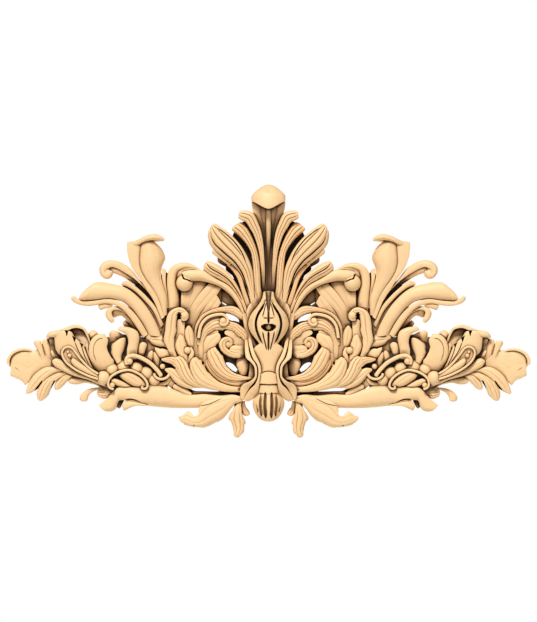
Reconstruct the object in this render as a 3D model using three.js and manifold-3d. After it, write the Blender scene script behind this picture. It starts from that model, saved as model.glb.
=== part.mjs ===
// Floral pediment: a carved wooden overdoor ornament, flat at the back, in one piece.
// Millimetres. The carving is drawn on an upright sheet, x to the right, y up and z out
// of the sheet, and is then turned so that +Z is up and the carving faces -Y.

import * as THREE from 'three';
import { mergeVertices } from 'three/addons/utils/BufferGeometryUtils.js';
import Module from 'manifold-3d';

const wasm = await Module();
wasm.setup();

// Driving dimensions
const width = 1050;           // from tip to tip of the wings
const depth = 90;             // from the wall to the top of the middle boss
const groundThickness = 14;   // the sunk ground that shows dark between the leaves
const beadSides = 6;          // facets round a bead
const stepsPerStation = 0.65; // cuts along a leaf for each of its stations
const edgeThickness = 6;      // the least wood left at a leaf's edge

// The leaves below are drawn on a squared sheet. So many squares make the whole width, and
// so many the whole depth, so every leaf takes its share of the real sizes.
const squaresAcross = 1050;
const squaresDeep = 90;
const across = width / squaresAcross;
const rise = depth / squaresDeep;

// The carving is built a little past the wall plane and planed flat there.
const planing = 4;

// Sections across a leaf, from its left edge to its right one, seen from root to tip.
// Each number is a rise over the leaf's height, as a share of its half width.
const dome = [-0.8, 0, -0.8];
const keel = [-0.5, 0.1, -0.5];
const cup = [0, -0.7, 0];
const veined = [-0.7, 0, -0.45, 0, -0.7];
const reeded = [-0.5, 0, -0.5, 0, -0.5];
const flat = [0, 0];
const boss = [-0.75, 0, -0.5, 0, -0.75];
const gadroon = [-0.85, -0.4, -0.5, -0.08, -0.22, 0, -0.22, -0.08, -0.5, -0.4, -0.85];

const wood = new THREE.MeshStandardMaterial({
  color: 0xe9c08a,
  roughness: 0.6,
  metalness: 0,
  flatShading: true,
});

// A closed geometry becomes a solid with its faces turned outwards.
function solidOf(geometry) {
  geometry.deleteAttribute('normal');
  geometry.deleteAttribute('uv');
  const merged = mergeVertices(geometry, 1e-4);
  const places = merged.attributes.position;
  const corners = merged.index.array;
  const [a, b, c] = [new THREE.Vector3(), new THREE.Vector3(), new THREE.Vector3()];
  const triangles = [];
  let volume = 0;
  for (let i = 0; i < corners.length; i += 3) {
    const [p, q, r] = corners.slice(i, i + 3);
    if (p === q || q === r || r === p) continue;
    a.fromBufferAttribute(places, p);
    b.fromBufferAttribute(places, q);
    c.fromBufferAttribute(places, r);
    volume += a.dot(b.cross(c));
    triangles.push(p, q, r);
  }
  const outwards = new Uint32Array(triangles);
  if (volume < 0) outwards.reverse();
  return new wasm.Manifold(new wasm.Mesh({
    numProp: 3,
    vertProperties: new Float32Array(places.array),
    triVerts: outwards,
  }));
}

// A leaf, ribbon or stem: a block bent along its stations, from root to tip. A station is
// [x, y, half width, height] in squares; its front follows the section, its back the wall.
function leaf(section, ...stations) {
  const path = new THREE.CatmullRomCurve3(
    stations.map(([x, y]) => new THREE.Vector3(x * across, y * across, 0)),
  );
  const sizes = new THREE.CatmullRomCurve3(
    stations.map(([, , halfWidth, height]) => new THREE.Vector3(halfWidth, height, 0)),
  );
  const steps = Math.max(1, Math.round((stations.length - 1) * stepsPerStation));
  const block = new THREE.BoxGeometry(2, 1, 1, section.length - 1, steps, 1);
  const places = block.attributes.position;
  for (let i = 0; i < places.count; i += 1) {
    const share = places.getY(i) + 0.5;
    const column = Math.round(((places.getX(i) + 1) / 2) * (section.length - 1));
    const middle = path.getPoint(share);
    const ahead = path.getTangent(share);
    const size = sizes.getPoint(share);
    const aside = places.getX(i) * size.x * across;
    const front = Math.max((size.y + section[column] * size.x) * rise, edgeThickness);
    places.setXYZ(
      i,
      middle.x + ahead.y * aside,
      middle.y - ahead.x * aside,
      places.getZ(i) > 0 ? front : -planing,
    );
  }
  return solidOf(block);
}

// A round bead, seed or scroll eye: a domed peg standing on the wall.
function bead(x, y, radius, height) {
  const r = radius * across;
  const top = height * rise;
  const profile = [
    [0, -planing],
    [r, -planing],
    [r, Math.max(top - 0.8 * r, edgeThickness)],
    [0.65 * r, Math.max(top - 0.2 * r, edgeThickness + 1)],
    [0, Math.max(top, edgeThickness + 2)],
  ];
  const peg = new THREE.LatheGeometry(
    profile.map(([from, up]) => new THREE.Vector2(from, up)),
    beadSides,
  );
  peg.rotateX(Math.PI / 2);
  peg.translate(x * across, y * across, 0);
  return solidOf(peg);
}

function join(solids) {
  return solids.reduce((whole, next) => whole.add(next));
}

// The same carving on the other side of the middle line.
function mirrored(solid) {
  const { vertProperties, triVerts } = solid.getMesh();
  const geometry = new THREE.BufferGeometry();
  geometry.setAttribute('position', new THREE.BufferAttribute(vertProperties, 3));
  geometry.setIndex(new THREE.BufferAttribute(triVerts, 1));
  geometry.scale(-1, 1, 1);
  return solidOf(geometry);
}

// The sunk ground that ties the leaves together, left away where the carving is pierced.
function ground() {
  const h = groundThickness / rise;
  return [
    leaf(flat, [500, -108, 12, h], [420, -100, 24, h], [345, -100, 36, h], [285, -102, 36, h],
      [225, -106, 38, h], [180, -102, 36, h]),
    leaf(flat, [205, -90, 24, h], [220, -30, 22, h], [236, 12, 10, h]),
    leaf(flat, [158, -124, 24, h], [156, -60, 34, h], [160, 10, 30, h], [150, 50, 20, h]),
    leaf(flat, [150, -60, 22, h], [40, -64, 22, h]),
    leaf(flat, [52, 60, 16, h], [30, 0, 24, h], [32, -60, 26, h], [36, -112, 28, h],
      [36, -164, 18, h]),
    leaf(flat, [88, 76, 12, h], [72, 40, 26, h], [66, 4, 26, h]),
  ];
}

// The crown of tall leaves that fans out on each side of the shaft.
function crown() {
  return [
    // inner leaf, its tip curled over
    leaf(veined, [9, 36, 4, 50], [12, 98, 5, 54], [16, 126, 7, 58], [21, 146, 8, 60],
      [28, 164, 9, 62], [36, 182, 11, 62], [46, 195, 9, 62], [58, 195, 6, 58]),
    // second leaf
    leaf(veined, [21, 26, 7, 50], [23, 78, 8, 50], [29, 108, 8, 50], [39, 133, 10, 50],
      [50, 152, 12, 52], [62, 167, 11, 52], [71, 170, 6, 48]),
    // broad outer leaf
    leaf(veined, [29, 12, 9, 52], [37, 52, 12, 56], [43, 82, 13, 60], [52, 99, 17, 64],
      [64, 113, 21, 68], [88, 136, 23, 70], [106, 153, 18, 70], [114, 170, 9, 66]),
    // lumps of a leaf that lies behind it
    bead(111, 124, 8, 26),
    bead(99, 104, 12, 26),
    bead(85, 88, 10, 26),
    // ribbon
    leaf(dome, [36, 4, 6, 44], [45, 26, 6, 46], [56, 48, 7, 48], [66, 68, 7, 48],
      [77, 84, 8, 48], [89, 95, 6, 46]),
    // low outer leaf
    leaf(veined, [43, -6, 5, 50], [50, 24, 8, 54], [62, 46, 8, 56], [78, 64, 11, 60],
      [101, 77, 14, 60], [121, 87, 14, 60], [131, 95, 7, 56]),
    // arm under it, ending in a ball
    leaf(dome, [50, -6, 6, 46], [63, 20, 6, 50], [75, 37, 8, 52], [91, 51, 8, 54],
      [115, 61, 7, 58], [133, 70, 11, 58], [152, 71, 11, 58], [172, 72, 7, 54]),
    bead(169, 54, 16, 62),
    // arch over the ball
    leaf(dome, [188, 0, 10, 44], [194, 46, 10, 48], [193, 70, 10, 50], [186, 84, 9, 50],
      [169, 90, 7, 48], [151, 87, 6, 44], [139, 79, 5, 40]),
    // fan of small leaves behind
    leaf(veined, [155, -26, 10, 26], [147, -2, 22, 30], [135, 22, 30, 30], [123, 40, 26, 32],
      [114, 51, 12, 28]),
  ];
}

// The palmette between crown and wing: five plumes from one root.
function palmette() {
  return [
    // tall cupped plume and its folded tip
    leaf(cup, [208, -14, 5, 44], [213, 18, 11, 48], [224, 42, 16, 52], [235, 66, 21, 54],
      [244, 88, 30, 56], [244, 110, 36, 58], [250, 126, 33, 58], [259, 139, 24, 56]),
    leaf(dome, [264, 132, 4, 62], [249, 145, 5.5, 68], [235, 149, 6, 68], [221, 147, 5, 66],
      [210, 141, 3, 62]),
    leaf(dome, [203, 14, 5, 42], [209, 54, 5, 42], [209, 82, 4, 42]),
    // crozier with its eye
    leaf(dome, [222, 10, 5, 44], [240, 35, 5, 46], [259, 54, 7, 48], [280, 74, 10.5, 50],
      [302, 88, 12.5, 52], [321, 91, 10, 54], [331, 83, 8, 52], [328, 74, 7, 50]),
    bead(325, 75, 13, 58),
    // plain strip
    leaf(keel, [208, -40, 6, 40], [229, 4, 9, 40], [249, 28, 10, 40], [269, 46, 9, 40],
      [288, 56, 6, 38]),
    // long low plume, hollowed below, with an upturned lip
    leaf(cup, [230, -50, 13, 46], [244, -20, 15, 50], [257, -1, 16, 54], [273, 17, 16, 56],
      [291, 28, 19, 58], [316, 35, 20, 58], [340, 35, 22, 58], [363, 29, 19, 56],
      [382, 21, 7, 54], [394, 25, 3, 52]),
    bead(334, 11, 8, 22),
    // hook under it
    leaf(dome, [248, -60, 9, 40], [265, -28, 9, 42], [279, -12, 10, 44], [294, 0, 9, 44],
      [310, 1, 8, 44], [319, -6, 6, 44], [314, -19, 5, 40]),
  ];
}

// The scrolling leaves between the boss and the palmette.
function scrolls() {
  return [
    // crescent at the top
    leaf(dome, [43, -14, 5, 44], [61, -4, 7, 42], [81, 2, 6, 42], [107, -1, 5, 42],
      [129, -12, 5, 42], [144, -28, 4, 42]),
    // thin rim rolled into an eye
    leaf(dome, [144, -70, 3, 52], [142, -34, 3, 52], [131, -17, 3, 52], [113, -9, 3, 52],
      [97, -6, 3, 52], [84, -12, 3, 52], [82, -24, 3, 50], [91, -30, 3, 48]),
    bead(90, -22, 8, 50),
    // arched leaf inside the rim
    leaf(dome, [136, -70, 6, 46], [125, -46, 9, 50], [109, -34, 10, 52], [85, -33, 9, 52],
      [65, -38, 12, 54], [53, -48, 9, 54], [46, -61, 4, 50]),
    // inner spiral
    leaf(dome, [42, -78, 5, 44], [57, -88, 6, 46], [73, -88, 7, 48], [86, -81, 8, 48],
      [92, -68, 7, 50], [87, -58, 5.5, 50], [78, -59, 4.5, 48], [74, -68, 3.5, 46]),
    // short leaf turned down outside it
    leaf(dome, [98, -53, 10, 50], [115, -60, 12, 52], [127, -70, 10, 52], [131, -90, 7, 48]),
    // big crescent leaf below, and the reeded border that follows it
    leaf(veined, [38, -136, 7, 50], [61, -137, 10, 52], [81, -128, 13, 52], [97, -114, 13, 52],
      [107, -98, 14, 52], [111, -82, 12, 54], [107, -70, 5, 50]),
    leaf(reeded, [50, -155, 4, 46], [73, -151, 6, 44], [95, -144, 7, 44], [115, -130, 7, 44],
      [125, -112, 6, 44], [129, -92, 5, 44]),
    bead(51, -112, 12, 25),
    leaf(dome, [70, -125, 3, 45], [26, -132, 3, 45]),
    // leaf with an eye, and the three leaves beside it
    leaf(veined, [197, -86, 6, 46], [197, -62, 11, 50], [195, -38, 12, 52], [193, -16, 12, 54],
      [181, -1, 9, 56], [168, -3, 7, 56]),
    bead(169, -8, 10, 60),
    leaf(dome, [157, -84, 6, 42], [158, -60, 10, 44], [159, -40, 9, 44], [160, -29, 4, 42]),
    leaf(dome, [162, -104, 6, 46], [169, -78, 12, 48], [174, -60, 10, 48], [178, -46, 4, 46]),
    bead(162, -77, 7, 56),
    leaf(cup, [221, -74, 6, 38], [225, -58, 16, 40], [227, -46, 13, 40]),
    leaf(dome, [229, -75, 6, 38], [215, -82, 12, 38], [199, -89, 8, 38]),
  ];
}

// A string of beads set on an arc of a circle.
function beadString(count, centre, reach, from, to, radius, height) {
  return Array.from({ length: count }, (unused, i) => {
    const turn = THREE.MathUtils.degToRad(from + ((to - from) * i) / (count - 1));
    return bead(centre[0] + reach * Math.cos(turn), centre[1] + reach * Math.sin(turn), radius, height);
  });
}

// The wing: rolled leaves, a bead string between two bands, a pod and the pointed tail.
function wing() {
  return [
    // upper band with the bead in its crook
    leaf(dome, [279, -98, 4, 52], [265, -91, 4, 52], [251, -96, 4, 52], [237, -104, 4, 52],
      [225, -116, 4, 52], [213, -132, 4, 52], [199, -131, 4, 50]),
    bead(279, -100, 7, 56),
    bead(213, -110, 6, 50),
    ...beadString(6, [281, -163], 54, 30, 150, 12, 44),
    // lower band, and the leaf inside its bend
    leaf(dome, [322, -142, 3, 50], [311, -127, 3, 50], [289, -119, 3, 50], [267, -122, 3, 50],
      [250, -133, 3, 50], [241, -152, 3, 50]),
    leaf(dome, [291, -134, 6, 46], [269, -140, 8, 46], [245, -149, 6, 46]),
    leaf(dome, [318, -140, 4, 44], [278, -150, 5, 44]),
    // rolled leaves along the top, from the palmette outwards
    leaf(dome, [279, -92, 10, 50], [273, -70, 11, 52], [272, -52, 11, 52], [283, -40, 8, 54],
      [301, -36, 5, 52]),
    leaf(dome, [250, -96, 5, 36], [251, -76, 6, 36], [248, -64, 4, 36]),
    leaf(dome, [304, -102, 7, 44], [303, -78, 13, 44], [296, -60, 9, 44]),
    leaf(dome, [311, -66, 6, 28], [309, -46, 8, 28]),
    leaf(cup, [319, -116, 12, 46], [333, -96, 19, 50], [340, -76, 19, 50], [338, -58, 14, 50],
      [332, -47, 8, 48]),
    bead(351, -48, 10, 26),
    leaf(cup, [357, -84, 8, 44], [367, -58, 11, 46], [377, -44, 13, 46], [393, -36, 8, 48],
      [411, -38, 4, 46]),
    // broad leaf of the wing
    leaf(veined, [350, -118, 6, 50], [377, -98, 18, 54], [397, -78, 26, 56], [413, -62, 24, 56],
      [427, -52, 14, 56], [443, -50, 6, 52]),
    leaf(dome, [445, -90, 8, 34], [455, -72, 8, 34], [467, -62, 5, 34]),
    leaf(dome, [430, -84, 8, 36], [444, -62, 6.5, 36]),
    // pointed tail
    leaf(veined, [431, -106, 9, 32], [453, -104, 20, 32], [473, -105, 26, 32], [493, -105, 28, 30],
      [509, -102, 19, 28], [522, -100, 8, 24]),
    leaf(dome, [485, -118, 13, 28], [505, -130, 9, 28], [516, -129, 4, 26]),
    // three fingers that hang below it
    leaf(dome, [411, -114, 9, 40], [441, -122, 10, 40], [461, -134, 11, 38], [475, -150, 9, 36],
      [484, -164, 4, 34]),
    leaf(dome, [399, -120, 9, 40], [421, -132, 10, 40], [439, -148, 12, 38], [451, -166, 10, 36],
      [458, -179, 4, 34]),
    leaf(dome, [386, -122, 9, 38], [407, -138, 9, 38], [421, -150, 7, 36], [427, -158, 3, 34]),
    // spoon leaf, pod with its seed, and a small leaf below
    leaf(cup, [319, -147, 3, 46], [347, -137, 5, 46], [377, -126, 7, 46], [401, -115, 8, 46],
      [421, -104, 8, 46], [433, -100, 5, 44]),
    leaf(cup, [341, -131, 4, 50], [364, -113, 9, 50], [383, -100, 12, 50], [397, -88, 12, 50],
      [405, -76, 8, 50]),
    leaf(dome, [346, -132, 3, 46], [370, -112, 6, 48], [392, -96, 4, 48]),
    leaf(dome, [338, -145, 3, 24], [369, -138, 6, 24], [395, -138, 6, 24]),
  ];
}

// The branch and the leaves that hang under the scrolls.
function underside() {
  return [
    // big lobed leaf, with three lobes on its upper edge
    leaf(veined, [50, -154, 6, 50], [87, -146, 12, 56], [121, -136, 18, 60], [153, -124, 20, 60],
      [177, -116, 18, 58], [201, -110, 10, 56], [211, -110, 6, 52]),
    leaf(dome, [124, -136, 12, 58], [137, -112, 11, 58], [145, -94, 5, 52]),
    leaf(dome, [156, -132, 12, 60], [169, -110, 12, 58], [181, -94, 6, 52]),
    leaf(dome, [183, -120, 8, 58], [201, -100, 8, 56], [217, -96, 4, 50]),
    // branch with its foot and small lobe
    leaf(dome, [54, -165, 6, 50], [93, -171, 9, 46], [131, -181, 13, 44], [167, -181, 14, 42],
      [201, -175, 19, 42], [237, -169, 21, 42], [269, -171, 19, 42], [297, -170, 16, 40],
      [313, -170, 8, 36]),
    leaf(dome, [299, -172, 12, 40], [317, -182, 12, 40], [331, -191, 8, 38], [340, -192, 4, 34]),
    leaf(dome, [280, -180, 10, 38], [288, -196, 4, 34]),
    bead(329, -166, 13, 24),
    leaf(dome, [318, -157, 4, 26], [345, -157, 4, 26], [365, -161, 5, 26], [376, -170, 5, 26],
      [369, -179, 4, 26], [359, -174, 3, 26]),
    // broad leaf that turns outwards below the branch
    leaf(veined, [57, -170, 6, 48], [79, -182, 16, 46], [99, -194, 26, 46], [121, -206, 26, 46],
      [141, -217, 17, 44], [161, -220, 10, 42], [177, -215, 5, 38]),
    leaf(dome, [117, -194, 12, 46], [131, -192, 12, 45], [143, -197, 6, 42]),
    // leaf that hangs beside the gadrooned knob
    leaf(veined, [57, -176, 6, 42], [64, -198, 12, 40], [65, -216, 17, 38], [59, -232, 13, 36],
      [58, -246, 7, 34], [61, -254, 3, 32]),
    leaf(dome, [53, -178, 4, 30], [47, -194, 6, 28], [42, -208, 8, 26]),
    // strap that sweeps round the vase into the branch
    leaf(dome, [38, -52, 4, 84], [40, -72, 5, 85], [34, -92, 7, 85], [24, -108, 6, 85],
      [21, -124, 5, 85], [25, -140, 7, 82], [37, -156, 13, 76], [47, -170, 11, 66],
      [54, -180, 4, 56]),
  ];
}

// What stands on the middle line itself.
function middle() {
  return [
    // shaft and the rounded cap over it
    leaf(keel, [0, 36, 6, 36], [0, 102, 8, 36], [0, 142, 13, 36], [0, 170, 20, 34], [0, 206, 31, 34]),
    leaf(dome, [0, 204, 10, 62], [0, 211, 26, 68], [0, 220, 34, 72], [0, 234, 31, 72],
      [0, 245, 22, 68], [0, 253, 8, 62]),
    // almond boss with its hollow, the bead in it and the tongue below
    leaf(boss, [0, -69, 21, 84], [0, -58, 25, 86], [0, -46, 33, 88], [0, -32, 41, 90],
      [0, -18, 43, 90], [0, 0, 37, 90], [0, 18, 25, 84], [0, 34, 13, 76], [0, 43, 6, 70]),
    bead(0, -32, 7, 80),
    leaf(dome, [0, -82, 6, 84], [0, -60, 8, 86], [0, -40, 6, 80]),
    // vase, collar and gadrooned knob
    leaf(dome, [0, -126, 17, 72], [0, -110, 14, 72], [0, -100, 17, 72], [0, -88, 25, 74],
      [0, -76, 31, 74], [0, -64, 21, 76]),
    leaf(dome, [0, -150, 19, 80], [0, -120, 19, 80]),
    leaf(gadroon, [0, -219.5, 9, 62], [0, -212, 21, 70], [0, -200, 29, 76], [0, -186, 32, 78],
      [0, -176, 31, 78], [0, -162, 25, 76], [0, -146, 21, 74]),
  ];
}

const half = join([
  ...ground(),
  ...crown(),
  ...palmette(),
  ...scrolls(),
  ...wing(),
  ...underside(),
]);

const wall = new THREE.BoxGeometry(2 * width, 2 * width, 10 * planing);
wall.translate(0, 0, -5 * planing);
const carving = join([half, mirrored(half), ...middle()]).subtract(solidOf(wall));

const { vertProperties, triVerts } = carving.getMesh();
const geometry = new THREE.BufferGeometry();
geometry.setAttribute('position', new THREE.BufferAttribute(vertProperties, 3));
geometry.setIndex(new THREE.BufferAttribute(triVerts, 1));
geometry.computeVertexNormals();

const pediment = new THREE.Mesh(geometry, wood);
pediment.name = 'pediment_carving';
pediment.rotation.x = Math.PI / 2;

const group = new THREE.Group();
group.add(pediment);

export default group;
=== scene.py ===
# %% [markdown]
# A carved overdoor pediment. The real one is cut from one glued-up blank of pale, even
# wood: a carver roughs out the big leaves, sinks the ground between them and then cuts
# the veins. Here each leaf is a small solid of its own, and one Boolean joins them all,
# so the edges where leaves overlap come out as crisp as a gouge leaves them.

import math

import bmesh
import bpy
import numpy as np
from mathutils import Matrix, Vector
from mathutils.bvhtree import BVHTree


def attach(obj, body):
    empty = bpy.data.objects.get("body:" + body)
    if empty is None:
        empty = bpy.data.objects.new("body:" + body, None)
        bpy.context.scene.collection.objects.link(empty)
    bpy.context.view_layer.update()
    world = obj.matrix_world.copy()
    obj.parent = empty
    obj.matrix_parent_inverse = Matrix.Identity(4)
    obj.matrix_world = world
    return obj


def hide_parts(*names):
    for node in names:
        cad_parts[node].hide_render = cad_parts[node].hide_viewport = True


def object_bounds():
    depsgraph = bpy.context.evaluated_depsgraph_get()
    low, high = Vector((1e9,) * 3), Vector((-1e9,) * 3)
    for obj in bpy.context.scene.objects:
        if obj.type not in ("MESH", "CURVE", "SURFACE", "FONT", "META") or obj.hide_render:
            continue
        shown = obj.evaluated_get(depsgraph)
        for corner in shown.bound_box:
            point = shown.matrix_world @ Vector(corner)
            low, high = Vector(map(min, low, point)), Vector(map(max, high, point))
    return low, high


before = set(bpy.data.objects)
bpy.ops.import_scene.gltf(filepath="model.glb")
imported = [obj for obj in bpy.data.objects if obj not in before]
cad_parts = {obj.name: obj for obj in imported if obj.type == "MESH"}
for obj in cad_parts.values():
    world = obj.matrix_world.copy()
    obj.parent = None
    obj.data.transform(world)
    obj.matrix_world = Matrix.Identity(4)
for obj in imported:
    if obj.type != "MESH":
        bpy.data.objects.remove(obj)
cad_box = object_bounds()
print("the solid's box in metres:", cad_box)

# %% [markdown]
# A carver squares up the pattern before it goes on the wood. Columns are counted from
# the left edge of the sheet and rows from its top, in squares of 2 mm; heights off the
# wall are in millimetres. Only the left half is drawn, because the right one mirrors it.

# %% The pattern sheet
MM = 0.001
SQUARE = 2.0           # the side of a square, in millimetres
MIDDLE = 268.5         # the column of the middle line
DATUM = 311.0          # the row that lies at the part's origin
ROW_LENGTH = 4.5       # a cut along a leaf for so many millimetres
COLUMN_WIDTH = 2.0     # and one across it
EDGE_LEFT = 5.0        # the least height of a leaf's edge off the wall
GROUND = 20.0          # the sunk ground between the leaves
WING_GROUND = 30.0     # and between the smaller ones of the wing
RIM = 1.2              # how far a leaf's outermost edge is eased
BACK_ALLOWANCE = 4.0   # what is built past the wall plane, and planed off
ABOVE_ALL = 110.0      # a height over every leaf, where a gouge comes from
THROUGH = -3.0         # the bottom of a hole that goes right through

blanks = bpy.data.collections.new("blanks")
bpy.context.scene.collection.children.link(blanks)


def spot(column, row, height):
    """A point over the pattern, in metres."""
    return Vector(((column - MIDDLE) * SQUARE, -height, (DATUM - row) * SQUARE)) * MM


print("the middle line lies at x =", spot(MIDDLE, DATUM, 0)[0])

# %% [markdown]
# A leaf is described by a few stations from root to tip. A Catmull-Rom curve passes
# through every station, so the few numbers of a carver's drawing give flowing edges. A
# station is either a middle with a half width, or a rung: a point on each edge.

# %% Curves through the stations
def flow(stations, share):
    """The values of a smooth curve at a share of the way along its stations."""
    last = len(stations) - 1
    i = min(int(share * last), last - 1)
    f = share * last - i
    b, c = stations[i], stations[i + 1]
    a = stations[i - 1] if i > 0 else [2 * p - q for p, q in zip(b, c)]
    d = stations[i + 2] if i + 2 <= last else [2 * q - p for p, q in zip(b, c)]
    return [
        q + 0.5 * f * (r - p + f * (2 * p - 5 * q + 4 * r - s + f * (3 * (q - r) + s - p)))
        for p, q, r, s in zip(a, b, c, d)
    ]


def rungs(stations):
    """Every station as (column, row, column, row, height), a point on either edge."""
    result = []
    for i, station in enumerate(stations):
        if len(station) == 4:
            column, row, half, height = station
            before, after = stations[max(i - 1, 0)], stations[min(i + 1, len(stations) - 1)]
            run, fall = after[0] - before[0], after[1] - before[1]
            size = math.hypot(run, fall) / half
            station = (column - fall / size, row + run / size,
                       column + fall / size, row - run / size, height)
        result.append(station)
    return result


print("half way between 0 and 10 is", flow([(0,), (10,)], 0.5))

# %% [markdown]
# Everything on the carving starts as a sheet of faces. Walls are extruded from its border
# straight to the wall plane or, for a cut, up over all leaves, which makes it a closed
# solid. Its faces are then turned outwards, because a Boolean needs to know its inside.

# %% From a sheet to a solid
def extruded(name, bm, height):
    """A sheet of faces made solid by walls that run straight to another height."""
    walls = bmesh.ops.extrude_face_region(bm, geom=list(bm.faces))
    for v in (g for g in walls["geom"] if isinstance(g, bmesh.types.BMVert)):
        v.co.y = -height * MM
    return blank(name, bm)


def blank(name, bm):
    """A closed bmesh becomes an object among the blanks, its faces turned outwards."""
    bmesh.ops.recalc_face_normals(bm, faces=bm.faces)
    mesh = bpy.data.meshes.new(name)
    bm.to_mesh(mesh)
    bm.free()
    solid = bpy.data.objects.new(name, mesh)
    blanks.objects.link(solid)
    return solid


def mirrored(name, solid):
    """The same solid on the other side of the middle line."""
    bm = bmesh.new()
    bm.from_mesh(solid.data)
    bmesh.ops.scale(bm, vec=(-1, 1, 1), verts=bm.verts)
    return blank(name, bm)


print("solids are kept in:", blanks.name)

# %% [markdown]
# Across a leaf, the gouge leaves a bow that falls to both edges, and on the bow a
# number of reeds that meet in sharp veins, shallow at the root and deeper further on. A
# sheet of squares is bent to that shape. Its last rows are drawn in on a circle, so that
# the tip is round, and teeth are bitten into an edge where the real leaf is serrated.
# The sheet is then extruded down past the wall plane, as wood that the gouge leaves.

# %% A leaf
LENGTH_STEPS = 40      # a leaf's length is measured in so many stretches
CROWDING = 1.4         # above 1, the rows of squares lie closer towards the tip
NARROWEST = 0.05       # the tip's last row, as a share of its full width
TIP_FALL = 0.35        # how far a round tip dips, as a share of its half width
ROOT_DEPTH = 0.2       # a vein's depth at the root, as a share of its full depth
DEEPENING = 2.5        # how fast it deepens along the leaf
FLATNESS = 4           # the higher, the flatter the reeds and the narrower the veins


def leaf(name, *stations, ribs=1, cut=0.0, bow=(0.5, 0.5), lean=0.0, tip=1.0, fine=1.0,
         teeth=(0, 0), bite=0.2):
    """A solid leaf. ribs are its reeds and cut the depth of the veins between them. bow is
    each edge's fall, lean a tilt and tip the length of its rounding, in half widths. teeth
    count the serrations of each edge, and bite is their depth, also in half widths."""
    edges = rungs(stations)
    path = [flow(edges, i / LENGTH_STEPS) for i in range(LENGTH_STEPS + 1)]
    middles = [((p[0] + p[2]) / 2, (p[1] + p[3]) / 2) for p in path]
    length = SQUARE * sum(math.dist(p, q) for p, q in zip(middles, middles[1:]))
    widest = SQUARE * max(math.dist(p[:2], p[2:4]) for p in path) / 2
    rows = max(5, round(fine * length / ROW_LENGTH))
    per_rib = max(3, math.ceil(2 * widest * fine / COLUMN_WIDTH / ribs))
    columns = ribs * per_rib + 2
    cuts_along = []
    for i in range(rows + 1):
        share = 1 - (1 - i / rows) ** CROWDING
        *ends, height = flow(edges, share)
        half = SQUARE * math.dist(ends[:2], ends[2:]) / 2
        to_go, reach = (1 - share) * length, tip * half
        round_in = math.sqrt(max(1 - (1 - to_go / reach) ** 2, 0.0)) if to_go < reach else 1.0
        cuts_along.append((*ends, height, half, max(round_in, NARROWEST), share))
    places = [-1.0, -1.0 + 0.5 / columns]
    places += [-1.0 + 2.0 * i / (columns - 2) for i in range(1, columns - 2)]
    places += [1.0 - 0.5 / columns, 1.0]
    bm = bmesh.new()
    bmesh.ops.create_grid(bm, x_segments=columns, y_segments=rows, size=1.0)
    for v in bm.verts:
        c0, r0, c1, r1, height, half, round_in, share = cuts_along[round((v.co.y + 1) / 2 * rows)]
        across = places[round((v.co.x + 1) / 2 * columns)]
        in_rib = (across + 1) / 2 * ribs % 1.0
        deepened = min(1.0, ROOT_DEPTH + DEEPENING * share)
        reed = cut * deepened * math.sqrt(half / widest) * (2 * in_rib - 1) ** FLATNESS
        curve = 0.75 * across ** 2 + 0.5 * across ** 6
        fall = bow[0] if across < 0 else bow[1]
        height += half * (lean * across - fall * curve) * round_in - reed
        height -= TIP_FALL * half * tip * (1 - round_in)
        if abs(across) == 1.0:
            height -= RIM
        tooth = (teeth[0] if across < 0 else teeth[1]) * share % 1.0 or 1.0
        shift = 0.5 + 0.5 * across * round_in * (1 - bite * (1 - tooth) * across ** 2)
        v.co = spot(c0 + (c1 - c0) * shift, r0 + (r1 - r0) * shift, max(height, EDGE_LEFT))
    return extruded(name, bm, -BACK_ALLOWANCE)


print("squares on a leaf:", ROW_LENGTH, "by", COLUMN_WIDTH, "mm")

# %% [markdown]
# A rim is a leaf of one width that follows a line of the drawing. A groove is the
# opposite: a V that a parting tool takes out, from above all leaves down to its bottom. A
# pocket has a level bottom, and where that lies behind the wall plane it is a hole.

# %% Rims, grooves and pockets
GROOVE_ROWS = 6        # rows of squares for each point of a groove
POCKET_ROWS = 4        # and for each rung of a pocket
BLUNT = 0.15           # the width of a groove's ends, as a share of its full width
RUN_OUT = 8            # the higher, the sooner a groove reaches its full width


def rim(name, half, height, *line, bow=(0.5, 0.5)):
    """A thin raised band along a line of points."""
    return leaf(name, *[(column, row, half, height) for column, row in line], bow=bow)


def groove(name, half, *line, slope=2.5):
    """A V-shaped cut; a point of its line is (column, row, height of the bottom)."""
    edges = rungs([(column, row, half, height) for column, row, height in line])
    rows = GROOVE_ROWS * len(line)
    bm = bmesh.new()
    bmesh.ops.create_grid(bm, x_segments=2, y_segments=rows, size=1.0)
    for v in bm.verts:
        share = (v.co.y + 1) / 2
        c0, r0, c1, r1, height = flow(edges, share)
        drawn_in = BLUNT + (1 - BLUNT) * min(RUN_OUT * share * (1 - share), 1.0)
        shift = 0.5 + 0.5 * v.co.x * drawn_in
        side = abs(v.co.x) * slope * half * SQUARE * drawn_in
        v.co = spot(c0 + (c1 - c0) * shift, r0 + (r1 - r0) * shift, height + side)
    return extruded(name, bm, ABOVE_ALL)


def notch(name, *stations):
    """A pocket with a level bottom; its stations are rungs, as a leaf's can be."""
    edges = rungs(stations)
    rows = POCKET_ROWS * len(stations)
    bm = bmesh.new()
    bmesh.ops.create_grid(bm, x_segments=2, y_segments=rows, size=1.0)
    for v in bm.verts:
        c0, r0, c1, r1, height = flow(edges, (v.co.y + 1) / 2)
        shift = 0.5 + 0.5 * v.co.x
        v.co = spot(c0 + (c1 - c0) * shift, r0 + (r1 - r0) * shift, height)
    return extruded(name, bm, ABOVE_ALL)


def hole(name, *rungs_across):
    """A pocket that goes right through; a rung is (column, row, column, row)."""
    return notch(name, *[(*rung, THROUGH) for rung in rungs_across])


print("a groove starts", ABOVE_ALL, "mm and a hole ends", THROUGH, "mm off the wall")

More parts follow.
